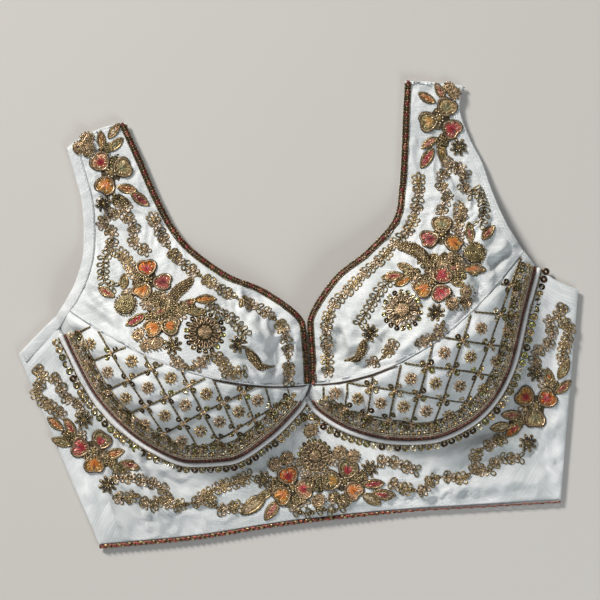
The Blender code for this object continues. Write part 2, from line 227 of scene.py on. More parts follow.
def bandPanel():                          # u from side seam to side seam, v from the cups to the hem
    top = []
    for side in sides:
        edge = movedOut(evenly(cupEdge[side], count=cup["edgeSteps"] + 1), side, wall["gap"])
        corner = evenly([underarm[side], lowArmhole[side], tuple(edge[0])], count=41)
        top += [corner, edge] if side == "right" else [edge[::-1], corner[::-1]]
    hem = evenly(hemLine, count=161)

    def point(u, v):
        k = min(int(u * 4), 3)
        f = u * 4 - k
        start = atShare(top[k], f)
        end = atShare(hem, hemStations[k] + (hemStations[k + 1] - hemStations[k]) * f)
        plan = start + (end + (0.0, hemCord + wall["gap"]) - start) * v
        return np.array((plan[0], plan[1], layHeight(plan[0])))
    return point


def backPanel(side):                      # s from the side to the centre back, t from strap to hem
    rows = backRows[side]

    def point(s, t):
        outX, outY, inX, inY = between(rows, t)
        dip = max(0.0, (t - 0.85) / 0.15) ** 2 * 2.0 * math.sin(math.pi * s)
        return np.array((outX + (inX - outX) * s, outY + (inY - outY) * s - dip, wall["back"]))
    return point


def inset(panel, edge, b, distance, step=0.004):    # share that lies a distance in from an edge
    inward = 1.0 if edge == 0.0 else -1.0
    across = (panel(edge + inward * step, b) - panel(edge, b)) / step
    run = panel(edge, min(b + step, 1.0)) - panel(edge, max(b - step, 0.0))
    run /= max(np.linalg.norm(run), 1e-9)
    return edge + inward * distance / max(np.linalg.norm(np.cross(across, run)), 1e-6)


def placed(points):                       # millimetres in the tables to metres in the frame
    moved = np.array(points, float)
    moved[..., 1] -= outlineMiddle
    return moved * mm


# Folds, puckers and quilting
# Troughs (-) and ridges (+) in the cloth: from x, y to x, y, then width, height and bow
folds = [
    # right cup and strap
    (-172, 44, -146, 18, 5.0, -1.6, 2.0), (-166, 30, -140, 10, 4.0, 1.4, -1.5),
    (-158, 12, -136, -4, 4.5, -1.3, 1.0), (-150, 26, -128, 20, 4.0, -1.2, 1.0),
    (-24, 2, -20, -34, 5.5, -1.9, 2.0), (-34, 4, -31, -30, 6.0, 1.5, -3.0),
    (-46, 20, -27, 8, 6.0, -1.0, 1.5), (-60, 12, -34, -6, 5.0, -0.9, 2.0),
    (-20, -36, -34, -54, 3.5, -1.3, 1.0), (-10, -38, -16, -56, 3.0, -1.0, 0.0),
    (-132, 62, -112, 40, 6.0, -0.9, 1.0), (-108, 70, -96, 48, 5.0, 0.7, 0.0),
    (-154, 96, -150, 60, 5.0, -0.7, 2.0), (-150, 132, -148, 96, 5.0, 0.6, 1.0),
    (-122, 132, -110, 104, 5.0, -0.6, 1.0),
    # left cup and strap
    (172, 62, 152, 38, 4.0, -1.8, -2.0), (176, 46, 158, 24, 4.5, 1.5, 2.0),
    (178, 32, 156, 12, 4.0, -1.4, -2.0), (162, 50, 146, 26, 3.5, 0.9, 0.0),
    (34, -14, 26, -50, 5.0, -2.0, -3.0), (43, -4, 38, -40, 6.0, 1.6, 2.0),
    (55, 6, 42, -14, 5.0, -1.2, 2.0), (70, 22, 50, 4, 5.0, 0.9, 0.0), (15, -24, 22, -54, 3.5, -1.1, 1.0),
    (66, -28, 40, -54, 4.0, -1.2, 2.0), (104, -22, 74, -46, 4.0, 1.0, -2.0),
    (148, 8, 122, -24, 5.0, -1.2, 2.0), (138, 12, 112, -14, 5.0, 1.0, 2.0),
    (150, 108, 146, 78, 5.0, -0.8, 1.0), (112, 112, 110, 74, 5.0, -0.6, 1.0),
    # centre ends of the lower cups
    (-26, -58, -34, -80, 3.0, -1.2, 0.0), (-14, -58, -20, -74, 2.5, 0.9, 0.0),
    (24, -56, 30, -82, 3.0, -1.5, 1.0), (31, -56, 36, -86, 2.6, 1.3, -1.0),
    (38, -58, 44, -88, 3.0, -1.4, 1.0), (48, -60, 50, -90, 3.0, 0.9, 0.0),
    (-70, -86, -80, -104, 3.5, -1.4, 0.0), (-84, -80, -94, -100, 3.5, 1.1, 0.0),
    (70, -92, 76, -106, 3.0, -1.2, 0.0),
    # band
    (-208, -70, -150, -150, 16.0, -1.0, 6.0), (-176, -112, -118, -146, 9.0, 0.9, 4.0),
    (-124, -124, -62, -126, 8.0, -1.3, -3.0), (-128, -134, -58, -136, 9.0, 0.8, -2.0),
    (-160, -158, -90, -160, 8.0, -0.7, 2.0), (-30, -112, 30, -112, 7.0, 0.5, 3.0),
    (96, -120, 168, -112, 8.0, -1.3, 5.0), (104, -130, 190, -126, 7.0, 1.0, 4.0),
    (92, -146, 196, -142, 8.0, -1.2, 6.0), (80, -158, 188, -156, 7.0, 0.8, 3.0),
    (110, -168, 190, -164, 6.0, -0.7, 1.0), (206, -30, 196, -72, 5.0, -0.8, 1.0),
    (188, -20, 178, -64, 4.0, 0.6, 0.0), (-214, -26, -200, -60, 6.0, 0.7, 0.0),
    (-200, -20, -182, -66, 5.0, -0.7, -1.0),
]
creases = {
    "depth": 2.3, "crumple": 3.4, "fine": 3.4, "stiff": 0.8,
    "stiffWithin": (("medallions", 17.0), ("flowers", 15.0), ("discs", 11.0)),
}
quilt = {"puff": 2.7, "reach": 4.8}
# The quilted lattice of each lower cup: where it starts, then one step along a row and one down a column
lattice = {
    "right": {"start": (-138.0, -38.0), "row": (19.6, 6.3), "column": (11.2, -22.6), "fan": -1.5},
    "left": {"start": (126.0, -37.0), "row": (-21.2, 5.4), "column": (-10.0, -22.0), "fan": 1.5},
    "rows": (-3, 7), "columns": (-4, 6), "cord": 1.7, "twist": 3.2, "clearFoot": 14.5, "clearArm": 4.0,
    "clearCentre": 8.0,
}


def latticePoint(side, i, j):
    grid = lattice[side]
    x = grid["start"][0] + grid["row"][0] * i + (grid["column"][0] + grid["fan"] * i) * j
    y = grid["start"][1] + grid["row"][1] * i + grid["column"][1] * j + 0.5 * math.sin(1.7 * i + 2.3 * j)
    return np.array((x, y))


def latticeLines(side):
    rows, columns = lattice["rows"], lattice["columns"]
    lines = []
    for i in range(*rows):
        lines.append([latticePoint(side, i, j) for j in np.linspace(columns[0], columns[1] - 1, 19)])
    for j in range(*columns):
        lines.append([latticePoint(side, i, j) for i in np.linspace(rows[0], rows[1] - 1, 19)])
    return lines


def farFrom(lines, x, y):                 # distance from each point to the nearest of several lines
    nearest = np.full(np.shape(x), 1e9)
    for line in lines:
        for a, b in zip(line, line[1:]):
            run = np.asarray(b) - np.asarray(a)
            f = np.clip(((x - a[0]) * run[0] + (y - a[1]) * run[1]) / max(run @ run, 1e-9), 0.0, 1.0)
            nearest = np.minimum(nearest, np.hypot(x - a[0] - f * run[0], y - a[1] - f * run[1]))
    return nearest


def foldLift(x, y):
    lift = np.zeros(np.shape(x))
    for fromX, fromY, toX, toY, width, height, bow in folds:
        run = np.array((toX - fromX, toY - fromY), float)
        length = np.hypot(*run)
        run /= length
        share = ((x - fromX) * run[0] + (y - fromY) * run[1]) / length
        away = -(x - fromX) * run[1] + (y - fromY) * run[0] - 4.0 * bow * share * (1.0 - share)
        fade = np.clip(1.25 - 2.0 * np.abs(share - 0.5), 0.0, 1.0)
        q = (away / width) ** 2
        lift += height * fade * fade * (3.0 - 2.0 * fade) * np.exp(-q) * (1.0 - 0.5 * q)
    return creases["depth"] * lift


def ripple(x, y, size, seed):             # the same soft unevenness every time
    flat = [noise.noise(Vector((a / size, b / size, seed))) for a, b in zip(x.ravel(), y.ravel())]
    return np.array(flat).reshape(x.shape)


def crumple(x, y, seed):                  # handling marks: thin ridges round soft hollows, here and there
    where = np.clip(0.60 + 1.4 * ripple(x, y, 58.0, seed + 7.0), 0.12, 1.0)
    bentX = 10.0 * ripple(x, y, 33.0, seed + 11.0)
    bentY = 10.0 * ripple(x, y, 33.0, seed + 17.0)
    x, y = x + bentX, y + bentY
    coarse = 0.25 - np.abs(ripple(x, y, 25.0, seed))
    fine = 0.2 - np.abs(ripple(x, y, 10.0, seed + 3.0))
    return where * (creases["crumple"] * 2.0 * coarse + creases["fine"] * 2.0 * fine)


def stiffened(x, y):                      # the cloth stays flatter under the large motifs
    calm = np.ones(np.shape(x))
    for part in motifs.values():
        for kind, reach in creases["stiffWithin"]:
            for centreX, centreY, *_ in part[kind]:
                near = np.exp(-((x - centreX) ** 2 + (y - centreY) ** 2) / reach ** 2)
                calm = np.minimum(calm, 1.0 - creases["stiff"] * near)
    return calm


def settled(grid, lift):                  # a hollow stops where the cloth meets the back panel
    lying = np.array([[layHeight(x) for x in row] for row in grid[..., 0]])
    room = np.maximum(grid[..., 2] - lying, 0.0) + 0.3
    return np.where(lift < 0.0, room * np.tanh(lift / room), lift)


# Finishes
def nodeGroup(name, inputs, outputs):
    group = bpy.data.node_groups.new(name, "ShaderNodeTree")
    for label, kind, value in inputs:
        socket = group.interface.new_socket(label, in_out="INPUT", socket_type=kind)
        if value is not None:
            socket.default_value = value
    for label, kind in outputs:
        group.interface.new_socket(label, in_out="OUTPUT", socket_type=kind)
    return group, group.nodes.new("NodeGroupInput"), group.nodes.new("NodeGroupOutput")


def add(tree, kind, settings=None, **inputs):     # a node with its settings, fed by sockets or values
    made = tree.nodes.new(kind)
    for key, value in (settings or {}).items():
        setattr(made, key, value)
    for key, value in inputs.items():
        socket = made.inputs[int(key[1:])] if key[0] == "i" and key[1:].isdigit() else made.inputs[key]
        if isinstance(value, bpy.types.NodeSocket):
            tree.links.new(value, socket)
        else:
            socket.default_value = value
    return made


def math2(tree, operation, a, b):
    return add(tree, "ShaderNodeMath", {"operation": operation}, i0=a, i1=b).outputs[0]


def weaveGroup():                         # raw silk: fine even warp, slubbed weft, uneven tone
    group, given, result = nodeGroup(
        "rawSilkWeave",
        [
            ("Vector", "NodeSocketVector", None), ("Pitch", "NodeSocketFloat", 0.0005),
            ("Slub", "NodeSocketFloat", 1.0),
        ],
        [("Height", "NodeSocketFloat"), ("Tone", "NodeSocketFloat")],
    )
    perMetre = math2(group, "DIVIDE", 0.314, given.outputs["Pitch"])
    wobble = add(group, "ShaderNodeTexNoise", None, Vector=given.outputs["Vector"], Scale=260.0, Detail=1.0)
    bent = add(
        group, "ShaderNodeVectorMath", {"operation": "MULTIPLY_ADD"},
        i0=wobble.outputs["Color"], i1=(0.0006, 0.0006, 0.0), i2=given.outputs["Vector"],
    ).outputs[0]
    warp = add(group, "ShaderNodeTexWave", {"bands_direction": "X"}, Vector=bent, Scale=perMetre)
    weft = add(group, "ShaderNodeTexWave", {"bands_direction": "Y"}, Vector=bent, Scale=perMetre)
    drawn = add(
        group, "ShaderNodeVectorMath", {"operation": "MULTIPLY"},
        i0=given.outputs["Vector"], i1=(45.0, 1100.0, 1.0),
    ).outputs[0]
    slub = add(group, "ShaderNodeTexNoise", None, Vector=drawn, Scale=1.0, Detail=3.0, Roughness=0.6)
    thick = add(
        group, "ShaderNodeMapRange", None, i0=slub.outputs["Fac"], i1=0.50, i2=0.78, i3=0.0, i4=1.0
    ).outputs[0]
    threads = math2(group, "MULTIPLY", warp.outputs["Fac"], weft.outputs["Fac"])
    raised = math2(group, "MULTIPLY", thick, given.outputs["Slub"])
    group.links.new(math2(group, "ADD", threads, raised), result.inputs["Height"])
    cloud = add(group, "ShaderNodeTexNoise", None, Vector=given.outputs["Vector"], Scale=28.0, Detail=4.0)
    tone = math2(group, "MULTIPLY_ADD", raised, 0.60)
    tone.node.inputs[2].default_value = 0.0
    group.links.new(math2(group, "ADD", tone, cloud.outputs["Fac"]), result.inputs["Tone"])
    return group


def patinaAndGlintGroup():                        # metal thread, beads and wire: darker in patches, duller there, and painted glints in fine specks
    group, given, result = nodeGroup(
        "patinaAndGlints",
        [
            ("Color", "NodeSocketColor", (0.5, 0.4, 0.2, 1.0)),
            ("Dark", "NodeSocketColor", (0.05, 0.04, 0.02, 1.0)),
            ("Scale", "NodeSocketFloat", 300.0), ("Amount", "NodeSocketFloat", 0.5),
            ("Smooth", "NodeSocketFloat", 0.2), ("Dull", "NodeSocketFloat", 0.5),
            ("GrainAndGlint", "NodeSocketFloat", 1400.0),
        ],
        [("Color", "NodeSocketColor"), ("Roughness", "NodeSocketFloat"), ("Height", "NodeSocketFloat")],
    )
    where = add(group, "ShaderNodeTexCoord").outputs["Object"]
    patch = add(group, "ShaderNodeTexNoise", None, Vector=where, Scale=given.outputs["Scale"], Detail=3.0)
    worn = add(
        group, "ShaderNodeMapRange", None, i0=patch.outputs["Fac"], i1=0.38, i2=0.66, i3=0.0, i4=1.0
    ).outputs[0]
    mixed = add(
        group, "ShaderNodeMix", {"data_type": "RGBA"},
        i0=math2(group, "MULTIPLY", worn, given.outputs["Amount"]),
        i6=given.outputs["Color"], i7=given.outputs["Dark"],
    )
    rough = add(
        group, "ShaderNodeMapRange", None,
        i0=worn, i1=0.0, i2=1.0, i3=given.outputs["Smooth"], i4=given.outputs["Dull"],
    ).outputs[0]
    # Fine specks: this noise bumps the metal and scales its colour from 0.35 to 2.2 times, painted glints
    # where it brightens and darker specks where it dims
    grain = add(group, "ShaderNodeTexNoise", None, Vector=where, Scale=given.outputs["GrainAndGlint"], Detail=1.0)
    paintedGlint = add(
        group, "ShaderNodeMapRange", None, i0=grain.outputs["Fac"], i1=0.36, i2=0.66, i3=0.35, i4=2.2
    ).outputs[0]
    withPaintedGlints = add(group, "ShaderNodeVectorMath", {"operation": "SCALE"}, i0=mixed.outputs[2], Scale=paintedGlint)
    group.links.new(withPaintedGlints.outputs[0], result.inputs["Color"])
    group.links.new(rough, result.inputs["Roughness"])
    group.links.new(grain.outputs["Fac"], result.inputs["Height"])
    return group


def threadGroup():                        # laid floss: fine strands beside each other
    group, given, result = nodeGroup(
        "laidThread",
        [
            ("Vector", "NodeSocketVector", None), ("Strands", "NodeSocketFloat", 8.0),
            ("Color", "NodeSocketColor", None),
        ],
        [("Height", "NodeSocketFloat"), ("Color", "NodeSocketColor")],
    )
    strands = add(
        group, "ShaderNodeTexWave", {"bands_direction": "X"}, Vector=given.outputs["Vector"],
        Scale=given.outputs["Strands"], Distortion=1.2, Detail=1.0,
    )
    stretched = add(
        group, "ShaderNodeVectorMath", {"operation": "MULTIPLY"},
        i0=given.outputs["Vector"], i1=(4.5, 0.9, 1.0),
    ).outputs[0]
    uneven = add(group, "ShaderNodeTexNoise", None, Vector=stretched, Scale=1.0, Detail=2.0)
    shade = add(
        group, "ShaderNodeMapRange", None, i0=uneven.outputs["Fac"], i1=0.36, i2=0.64, i3=0.22, i4=1.9
    ).outputs[0]
    tinted = add(
        group, "ShaderNodeVectorMath", {"operation": "SCALE"}, i0=given.outputs["Color"], Scale=shade
    ).outputs[0]
    group.links.new(strands.outputs["Fac"], result.inputs["Height"])
    group.links.new(tinted, result.inputs["Color"])
    return group


groups = {"weave": weaveGroup(), "patinaAndGlints": patinaAndGlintGroup(), "thread": threadGroup()}


def newFinish(name, **fixed):
    material = bpy.data.materials.new(name)
    material.use_nodes = True
    shader = material.node_tree.nodes["Principled BSDF"]
    for key, value in fixed.items():
        shader.inputs[key.replace("_", " ")].default_value = value
    return material, material.node_tree, shader


def bumped(tree, shader, height, strength, distance):
    bump = add(tree, "ShaderNodeBump", None, Height=height, Strength=strength, Distance=distance)
    tree.links.new(bump.outputs["Normal"], shader.inputs["Normal"])


silk = {"pitch": 0.00055, "sheen": 0.2, "sheenTint": (0.95, 0.96, 1.0, 1.0), "relief": 0.00022}


def silkFinish(name, light, shade, slub=1.0):
    material, tree, shader = newFinish(name, Sheen_Weight=silk["sheen"], Sheen_Roughness=0.35)
    shader.inputs["Sheen Tint"].default_value = silk["sheenTint"]
    where = add(tree, "ShaderNodeUVMap", {"uv_map": "cloth"}).outputs["UV"]
    weave = add(
        tree, "ShaderNodeGroup", {"node_tree": groups["weave"]}, Vector=where, Pitch=silk["pitch"], Slub=slub
    )
    colour = add(tree, "ShaderNodeValToRGB", None, Fac=weave.outputs["Tone"])
    colour.color_ramp.elements[0].position = 0.30
    colour.color_ramp.elements[0].color = (*shade, 1.0)
    colour.color_ramp.elements[1].position = 0.72
    colour.color_ramp.elements[1].color = (*light, 1.0)
    tree.links.new(colour.outputs["Color"], shader.inputs["Base Color"])
    rough = add(tree, "ShaderNodeMapRange", None, i0=weave.outputs["Tone"], i1=0.3, i2=0.9, i3=0.40, i4=0.25)
    tree.links.new(rough.outputs[0], shader.inputs["Roughness"])
    bumped(tree, shader, weave.outputs["Height"], 0.8, silk["relief"])
    return material


def dyed(tree):
    return add(tree, "ShaderNodeAttribute", {"attribute_name": "dye"}).outputs["Color"]


def metalFinish(name, metallic, smoothest, dullest, amount, scale=420.0, strength=0.3, colour=None):
    material, tree, shader = newFinish(name, Metallic=metallic)
    group = add(
        tree, "ShaderNodeGroup", {"node_tree": groups["patinaAndGlints"]}, Color=colour or dyed(tree),
        Dark=(0.045, 0.032, 0.014, 1.0), Scale=scale, Amount=amount, Smooth=smoothest, Dull=dullest,
    )
    tree.links.new(group.outputs["Color"], shader.inputs["Base Color"])
    tree.links.new(group.outputs["Roughness"], shader.inputs["Roughness"])
    bumped(tree, shader, group.outputs["Height"], strength, 0.0003)
    return material


def satinFinish(name, strands):
    material, tree, shader = newFinish(name, Roughness=0.34, Sheen_Weight=0.15, Metallic=0.12)
    where = add(tree, "ShaderNodeAttribute", {"attribute_name": "thread"}).outputs["Vector"]
    group = add(
        tree, "ShaderNodeGroup", {"node_tree": groups["thread"]},
        Vector=where, Strands=strands, Color=dyed(tree),
    )
    tree.links.new(group.outputs["Color"], shader.inputs["Base Color"])
    bumped(tree, shader, group.outputs["Height"], 0.6, 0.0002)
    return material


def plainFinish(name, colour):            # a close white cloth, without a weave that shows
    material, tree, shader = newFinish(name, Roughness=0.5, Sheen_Weight=0.15, Base_Color=colour)
    where = add(tree, "ShaderNodeTexCoord").outputs["Object"]
    fuzz = add(tree, "ShaderNodeTexNoise", None, Vector=where, Scale=900.0, Detail=2.0)
    bumped(tree, shader, fuzz.outputs["Fac"], 0.3, 0.0002)
    return material


def glassFinish(name):
    material, tree, shader = newFinish(name, Specular_IOR_Level=0.8, Coat_Weight=0.6, Coat_Roughness=0.06)
    group = add(
        tree, "ShaderNodeGroup", {"node_tree": groups["patinaAndGlints"]}, Color=dyed(tree),
        Dark=(0.004, 0.003, 0.002, 1.0), Scale=700.0, Amount=0.5, Smooth=0.08, Dull=0.25,
    )
    tree.links.new(group.outputs["Color"], shader.inputs["Base Color"])
    tree.links.new(group.outputs["Roughness"], shader.inputs["Roughness"])
    return material


finishes = {
    "piping": plainFinish("pipingCloth", (0.74, 0.73, 0.72, 1.0)),
    "silk": silkFinish("ivoryRawSilk", (0.82, 0.830, 0.825), (0.545, 0.580, 0.568)),
    "silkBack": silkFinish("ivoryRawSilkBack", (0.74, 0.74, 0.74), (0.60, 0.60, 0.61), 1.3),
    "zari": metalFinish("antiqueZari", 0.55, 0.26, 0.5, 0.55),
    "sequin": metalFinish("sequinMetal", 0.92, 0.12, 0.34, 0.35, 260.0, 0.08),
    "satin": satinFinish("satinFloss", 2.6),
    "glass": glassFinish("darkBugle"),
    "brass": metalFinish("brassWire", 1.0, 0.18, 0.42, 0.4, 500.0, 0.1, (0.62, 0.42, 0.16, 1.0)),
}


# Cloth sheets
def shares(count, ends=(0.0015, 0.004, 0.0075)):     # even steps, with close lines beside both edges
    inner = np.linspace(0.0, 1.0, count + 1)[1:-1]
    return np.concatenate([[0.0], ends, inner, [1.0 - e for e in ends[::-1]], [1.0]])


draped = {"points": [], "faces": [], "count": 0}


def gridFaces(rows, columns, start=0):
    corner = np.arange(rows * columns).reshape(rows, columns) + start
    quads = [corner[:-1, :-1], corner[:-1, 1:], corner[1:, 1:], corner[1:, :-1]]
    return np.stack(quads, axis=-1).reshape(-1, 4)


def edgeDistances(grid):                  # from the first and last column, then the first and last row
    across = np.linalg.norm(np.diff(grid, axis=1), axis=2)
    down = np.linalg.norm(np.diff(grid, axis=0), axis=2)
    left = np.concatenate([np.zeros((grid.shape[0], 1)), np.cumsum(across, axis=1)], axis=1)
    top = np.concatenate([np.zeros((1, grid.shape[1])), np.cumsum(down, axis=0)], axis=0)
    return left, left[:, -1:] - left, top, top[-1:, :] - top


def meshPiece(name, points, faces, finish):
    mesh = bpy.data.meshes.new(name)
    mesh.from_pydata(points, [], faces)
    mesh.materials.append(finish)
    piece = bpy.data.objects.new(name, mesh)
    bpy.context.scene.collection.objects.link(piece)
    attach(piece, "root")
    return piece


def applyModifier(piece, kind, **settings):
    modifier = piece.modifiers.new(kind.lower(), kind)
    for key, value in settings.items():
        setattr(modifier, key, value)
    bpy.ops.object.select_all(action="DESELECT")
    piece.select_set(True)
    bpy.context.view_layer.objects.active = piece
    bpy.ops.object.modifier_apply(modifier=modifier.name)


def sheetPiece(name, grid, thick, finish, rolled, lift=0.0, catches=True):
    across, down = np.gradient(grid, axis=1), np.gradient(grid, axis=0)
    normal = np.cross(across, down)
    normal /= np.maximum(np.linalg.norm(normal, axis=2), 1e-9)[..., None]
    flipped = np.mean(normal[..., 2]) < 0.0
    if flipped:
        normal = -normal
    distances = edgeDistances(grid)
    drop = np.zeros(grid.shape[:2])
    for d, radius in zip(distances, rolled):
        if radius > 0.0:
            inside = np.clip(radius - d, 0.0, radius)
            drop = np.maximum(drop, radius - np.sqrt(radius ** 2 - inside ** 2))
    shaped = grid + normal * (lift - 0.75 * drop)[..., None]
    rows, columns = grid.shape[:2]
    faces = gridFaces(rows, columns)
    if flipped:
        faces = faces[:, ::-1]
    points = placed(shaped).reshape(-1, 3)
    piece = meshPiece(name, points.tolist(), faces.tolist(), finish)
    corners = np.array([loop.vertex_index for loop in piece.data.loops])
    flat = np.stack([placed(grid)[..., 0], -distances[2] * mm], axis=-1).reshape(-1, 2)
    piece.data.uv_layers.new(name="cloth").data.foreach_set("uv", flat[corners].ravel())
    piece.data.shade_smooth()
    applyModifier(piece, "SOLIDIFY", thickness=thick * mm, offset=-1.0)
    if catches:
        draped["points"].append(points)
        draped["faces"].append(faces + draped["count"])
        draped["count"] += len(points)
    return piece


def sheetArea(grid):
    a = np.cross(grid[1:, :-1] - grid[:-1, :-1], grid[:-1, 1:] - grid[:-1, :-1])
    b = np.cross(grid[1:, :-1] - grid[1:, 1:], grid[:-1, 1:] - grid[1:, 1:])
    return 0.5 * (np.linalg.norm(a, axis=2).sum() + np.linalg.norm(b, axis=2).sum()) * 1e-6


def seamPuckers(distance, x, y, seed, size=6.5, height=0.42):
    return height * np.exp(-distance / 5.0) * ripple(x, y, size, seed)


def panelGrid(panel, across, down):
    return np.array([[panel(s, t) for s in across] for t in down])


cloth = {"front": 1.4, "back": 1.3, "overUpper": 1.0, "overBand": 2.0, "bandFolds": 1.25}
cuts = {}                                 # each sheet's cut, flat: width and length in metres, and its area


def declareCut(piece, grid, flat=False):
    left, _, top, _ = edgeDistances(grid)
    width, length = left[:, -1].max() * mm, top[-1, :].max() * mm
    if flat:
        width, length = np.ptp(grid[..., 0]) * mm, np.ptp(grid[..., 1]) * mm
    area = min(sheetArea(grid), width * length)
    cuts[piece.name] = (round(width, 3), round(length, 3), round(area, 4))
    max(width, 0.01)


def frontSheet(name, grid, rolled, lift):
    return sheetPiece(name, grid, cloth["front"], finishes["silk"], rolled, settled(grid, lift))


def underFacing(arm, side):               # how far in from the facing, which wants flat cloth below
    return arm - facing["width"][side] + 1.0


def upperSheet(side):
    grid = panelGrid(upperPanel(side), shares(100), shares(134, (0.002, 0.005, 0.009)))
    x, y = grid[..., 0], grid[..., 1]
    arm, neck, _, seam = edgeDistances(grid)
    calm = np.clip(np.minimum(np.minimum(underFacing(arm, side), neck), seam) / 9.0, 0.0, 1.0)
    calm = calm * stiffened(x, y)
    lift = cloth["overUpper"] + foldLift(x, y) + 0.8 * ripple(x, y, 34.0, 1.7) + crumple(x, y, 1.3)
    lift *= calm
    lift += 0.5 * np.exp(-(seam / 1.8) ** 2)
    lift += seamPuckers(seam, x, y, 2.2) + seamPuckers(neck - 6.0, x, y, 3.1, 5.0, 0.3) * (neck > 6.0)
    lift += seamPuckers(arm, x, y, 8.4, 7.0, 0.5)
    lift -= 0.5 * np.exp(-((arm - 1.02 * facing["width"][side]) / 0.9) ** 2)
    piece = frontSheet(f"frontUpper_{side}", grid, (0.9, 0.9, 0.9, 0.5), lift)
    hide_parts(f"front_upper_{side}")
    declareCut(piece, grid)


def lowerSheet(side):
    grid = panelGrid(lowerCup(side), shares(126), shares(52, (0.003, 0.008, 0.014)))
    x, y = grid[..., 0], grid[..., 1]
    arm, _, seam, foot = edgeDistances(grid)
    clear = underFacing(arm, side)
    inside = np.clip((foot - 13.0) / 5.0, 0.0, 1.0) * np.clip(np.minimum(seam, clear) / 4.0, 0.0, 1.0)
    away = farFrom(latticeLines(side), x, y)
    puff = quilt["puff"] * (1.0 - np.exp(-(away / quilt["reach"]) ** 2)) * inside
    calm = np.clip(np.minimum(np.minimum(foot, seam), clear) / 8.0, 0.0, 1.0)
    lift = puff + (foldLift(x, y) + 0.8 * ripple(x, y, 26.0, 4.4) + 0.6 * crumple(x, y, 5.6)) * calm
    lift += 0.3 * ripple(x, y, 7.0, 6.3) * inside + seamPuckers(seam, x, y, 1.2)
    piece = frontSheet(f"cupLower_{side}", grid, (0.9, 0.6, 0.5, 0.4), lift)
    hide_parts(f"cup_lower_{side}")
    declareCut(piece, grid)


def bandSheet():
    middle = 0.25 + np.linspace(0, 0.5, 161)[:-1]
    across = np.concatenate([shares(12)[:-1] * 0.25, middle, 0.75 + shares(12) * 0.25])
    grid = panelGrid(bandPanel(), across, shares(44, (0.004, 0.010, 0.018)))
    x, y = grid[..., 0], grid[..., 1]
    left, right, top, foot = edgeDistances(grid)
    calm = np.clip(np.minimum(np.minimum(left, right), np.minimum(0.8 * top - 6.0, foot)) / 9.0, 0.0, 1.0)
    calm = calm * stiffened(x, y)
    lift = cloth["overBand"] + cloth["bandFolds"] * foldLift(x, y)
    lift = (lift + 0.8 * ripple(x, y, 36.0, 7.7) + crumple(x, y, 3.3)) * calm
    lift += seamPuckers(top - 9.0, x, y, 2.9, 6.0, 0.25) * (top > 9.0)
    lift += seamPuckers(foot, x, y, 9.3, 6.0, 0.3)
    piece = frontSheet("frontBand", grid, (0.9, 0.9, 0.4, 0.6), lift)
    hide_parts("front_band")
    declareCut(piece, grid, True)


def backSheets():
    for side in sides:
        grid = panelGrid(backPanel(side), shares(46), shares(104, (0.002, 0.005, 0.009)))
        x, y = grid[..., 0], grid[..., 1]
        lift = -0.12 + 0.08 * ripple(x, y, 30.0, 3.9) + 0.02 * crumple(x, y, 8.8)
        piece = sheetPiece(
            f"back_panel_{side}", grid, cloth["back"], finishes["silkBack"],
            (0.7, 0.3, 0.7, 0.7), lift, False,
        )
        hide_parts(f"back_{side}")
        declareCut(piece, grid, True)


# Armhole facings
facing = {
    "width": {"right": 9.0, "left": 6.5}, "ends": {"right": 1.0, "left": 0.86}, "thick": 0.7, "edge": 0.25,
    "columns": 9, "stitchEvery": 3.2, "stitchIn": 1.2,
}


def facingRows(panel, places, width):
    rows = []
    for b in places:
        row = []
        for share in np.linspace(0.0, 1.0, facing["columns"]):
            away = facing["edge"] + (width - facing["edge"]) * share
            a = min(max(inset(panel, 0.0, b, away), 0.0), 1.0)
            row.append(panel(a, b))
        rows.append(row)
    return rows


def facingSheets():
    for side in sides:
        width = facing["width"][side]
        rows = facingRows(upperPanel(side), np.linspace(0.006, facing["ends"][side], 110), width)
        if side == "right":
            lower, band = lowerCup(side), bandPanel()
            rows += facingRows(lower, np.linspace(0.12, 0.92, 9), width)
            rows += facingRows(lambda a, b: band(b, a), np.linspace(0.236, 0.02, 18), width)
        grid = np.array(rows)
        x, y = grid[..., 0], grid[..., 1]
        arm, inner, _, _ = edgeDistances(grid)
        lift = 0.9 + 0.4 * ripple(x, y, 7.0, 1.9) + 0.3 * ripple(x, y, 16.0, 6.6)
        lift += seamPuckers(arm, x, y, 8.4, 7.0, 0.5)
        lift -= 0.45 * np.exp(-((inner - 1.3) / 0.7) ** 2) + 0.3 * np.exp(-((arm - 1.6) / 0.8) ** 2)
        piece = sheetPiece(
            f"armholeFacing_{side}", grid, facing["thick"], finishes["silk"],
            (0.8, 0.5, 0.3, 0.3), lift,
        )
        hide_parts(f"armhole_facing_{side}")
        declareCut(piece, grid)


# What repeats is modelled once, in millimetres about its own middle, and copied when it is sewn on
Master = namedtuple("Master", "points faces tone thread")


def deselectAll():
    if bpy.context.object and bpy.context.object.mode != "OBJECT":
        bpy.ops.object.mode_set(mode="OBJECT")
    bpy.ops.object.select_all(action="DESELECT")


def editShape(pick=None, kind="FACE"):    # edit mode with only the picked faces or points selected
    thing = bpy.context.object
    bpy.ops.object.mode_set(mode="EDIT")
    bpy.ops.mesh.select_mode(type=kind)
    bpy.ops.mesh.select_all(action="SELECT" if pick is None else "DESELECT")
    if pick is not None:
        bpy.ops.object.mode_set(mode="OBJECT")
        for part in thing.data.vertices if kind == "VERT" else thing.data.polygons:
            part.select = pick(part)
        bpy.ops.object.mode_set(mode="EDIT")


def takeMaster(shape=None, tone=None, thread=None):
    thing = bpy.context.object
    bpy.ops.object.mode_set(mode="OBJECT")
    mesh = thing.data
    points = np.array([v.co[:] for v in mesh.vertices])
    faces = [tuple(p.vertices) for p in mesh.polygons]
    tones = np.array([tone(p) for p in points]) if tone else np.zeros(len(points))
    threads = np.array([thread(p) for p in points]) if thread else points[:, :2] * 0.1
    if shape:
        points = np.array([shape(p) for p in points])
    bpy.data.objects.remove(thing)
    bpy.data.meshes.remove(mesh)
    return Master(points, faces, tones, threads)


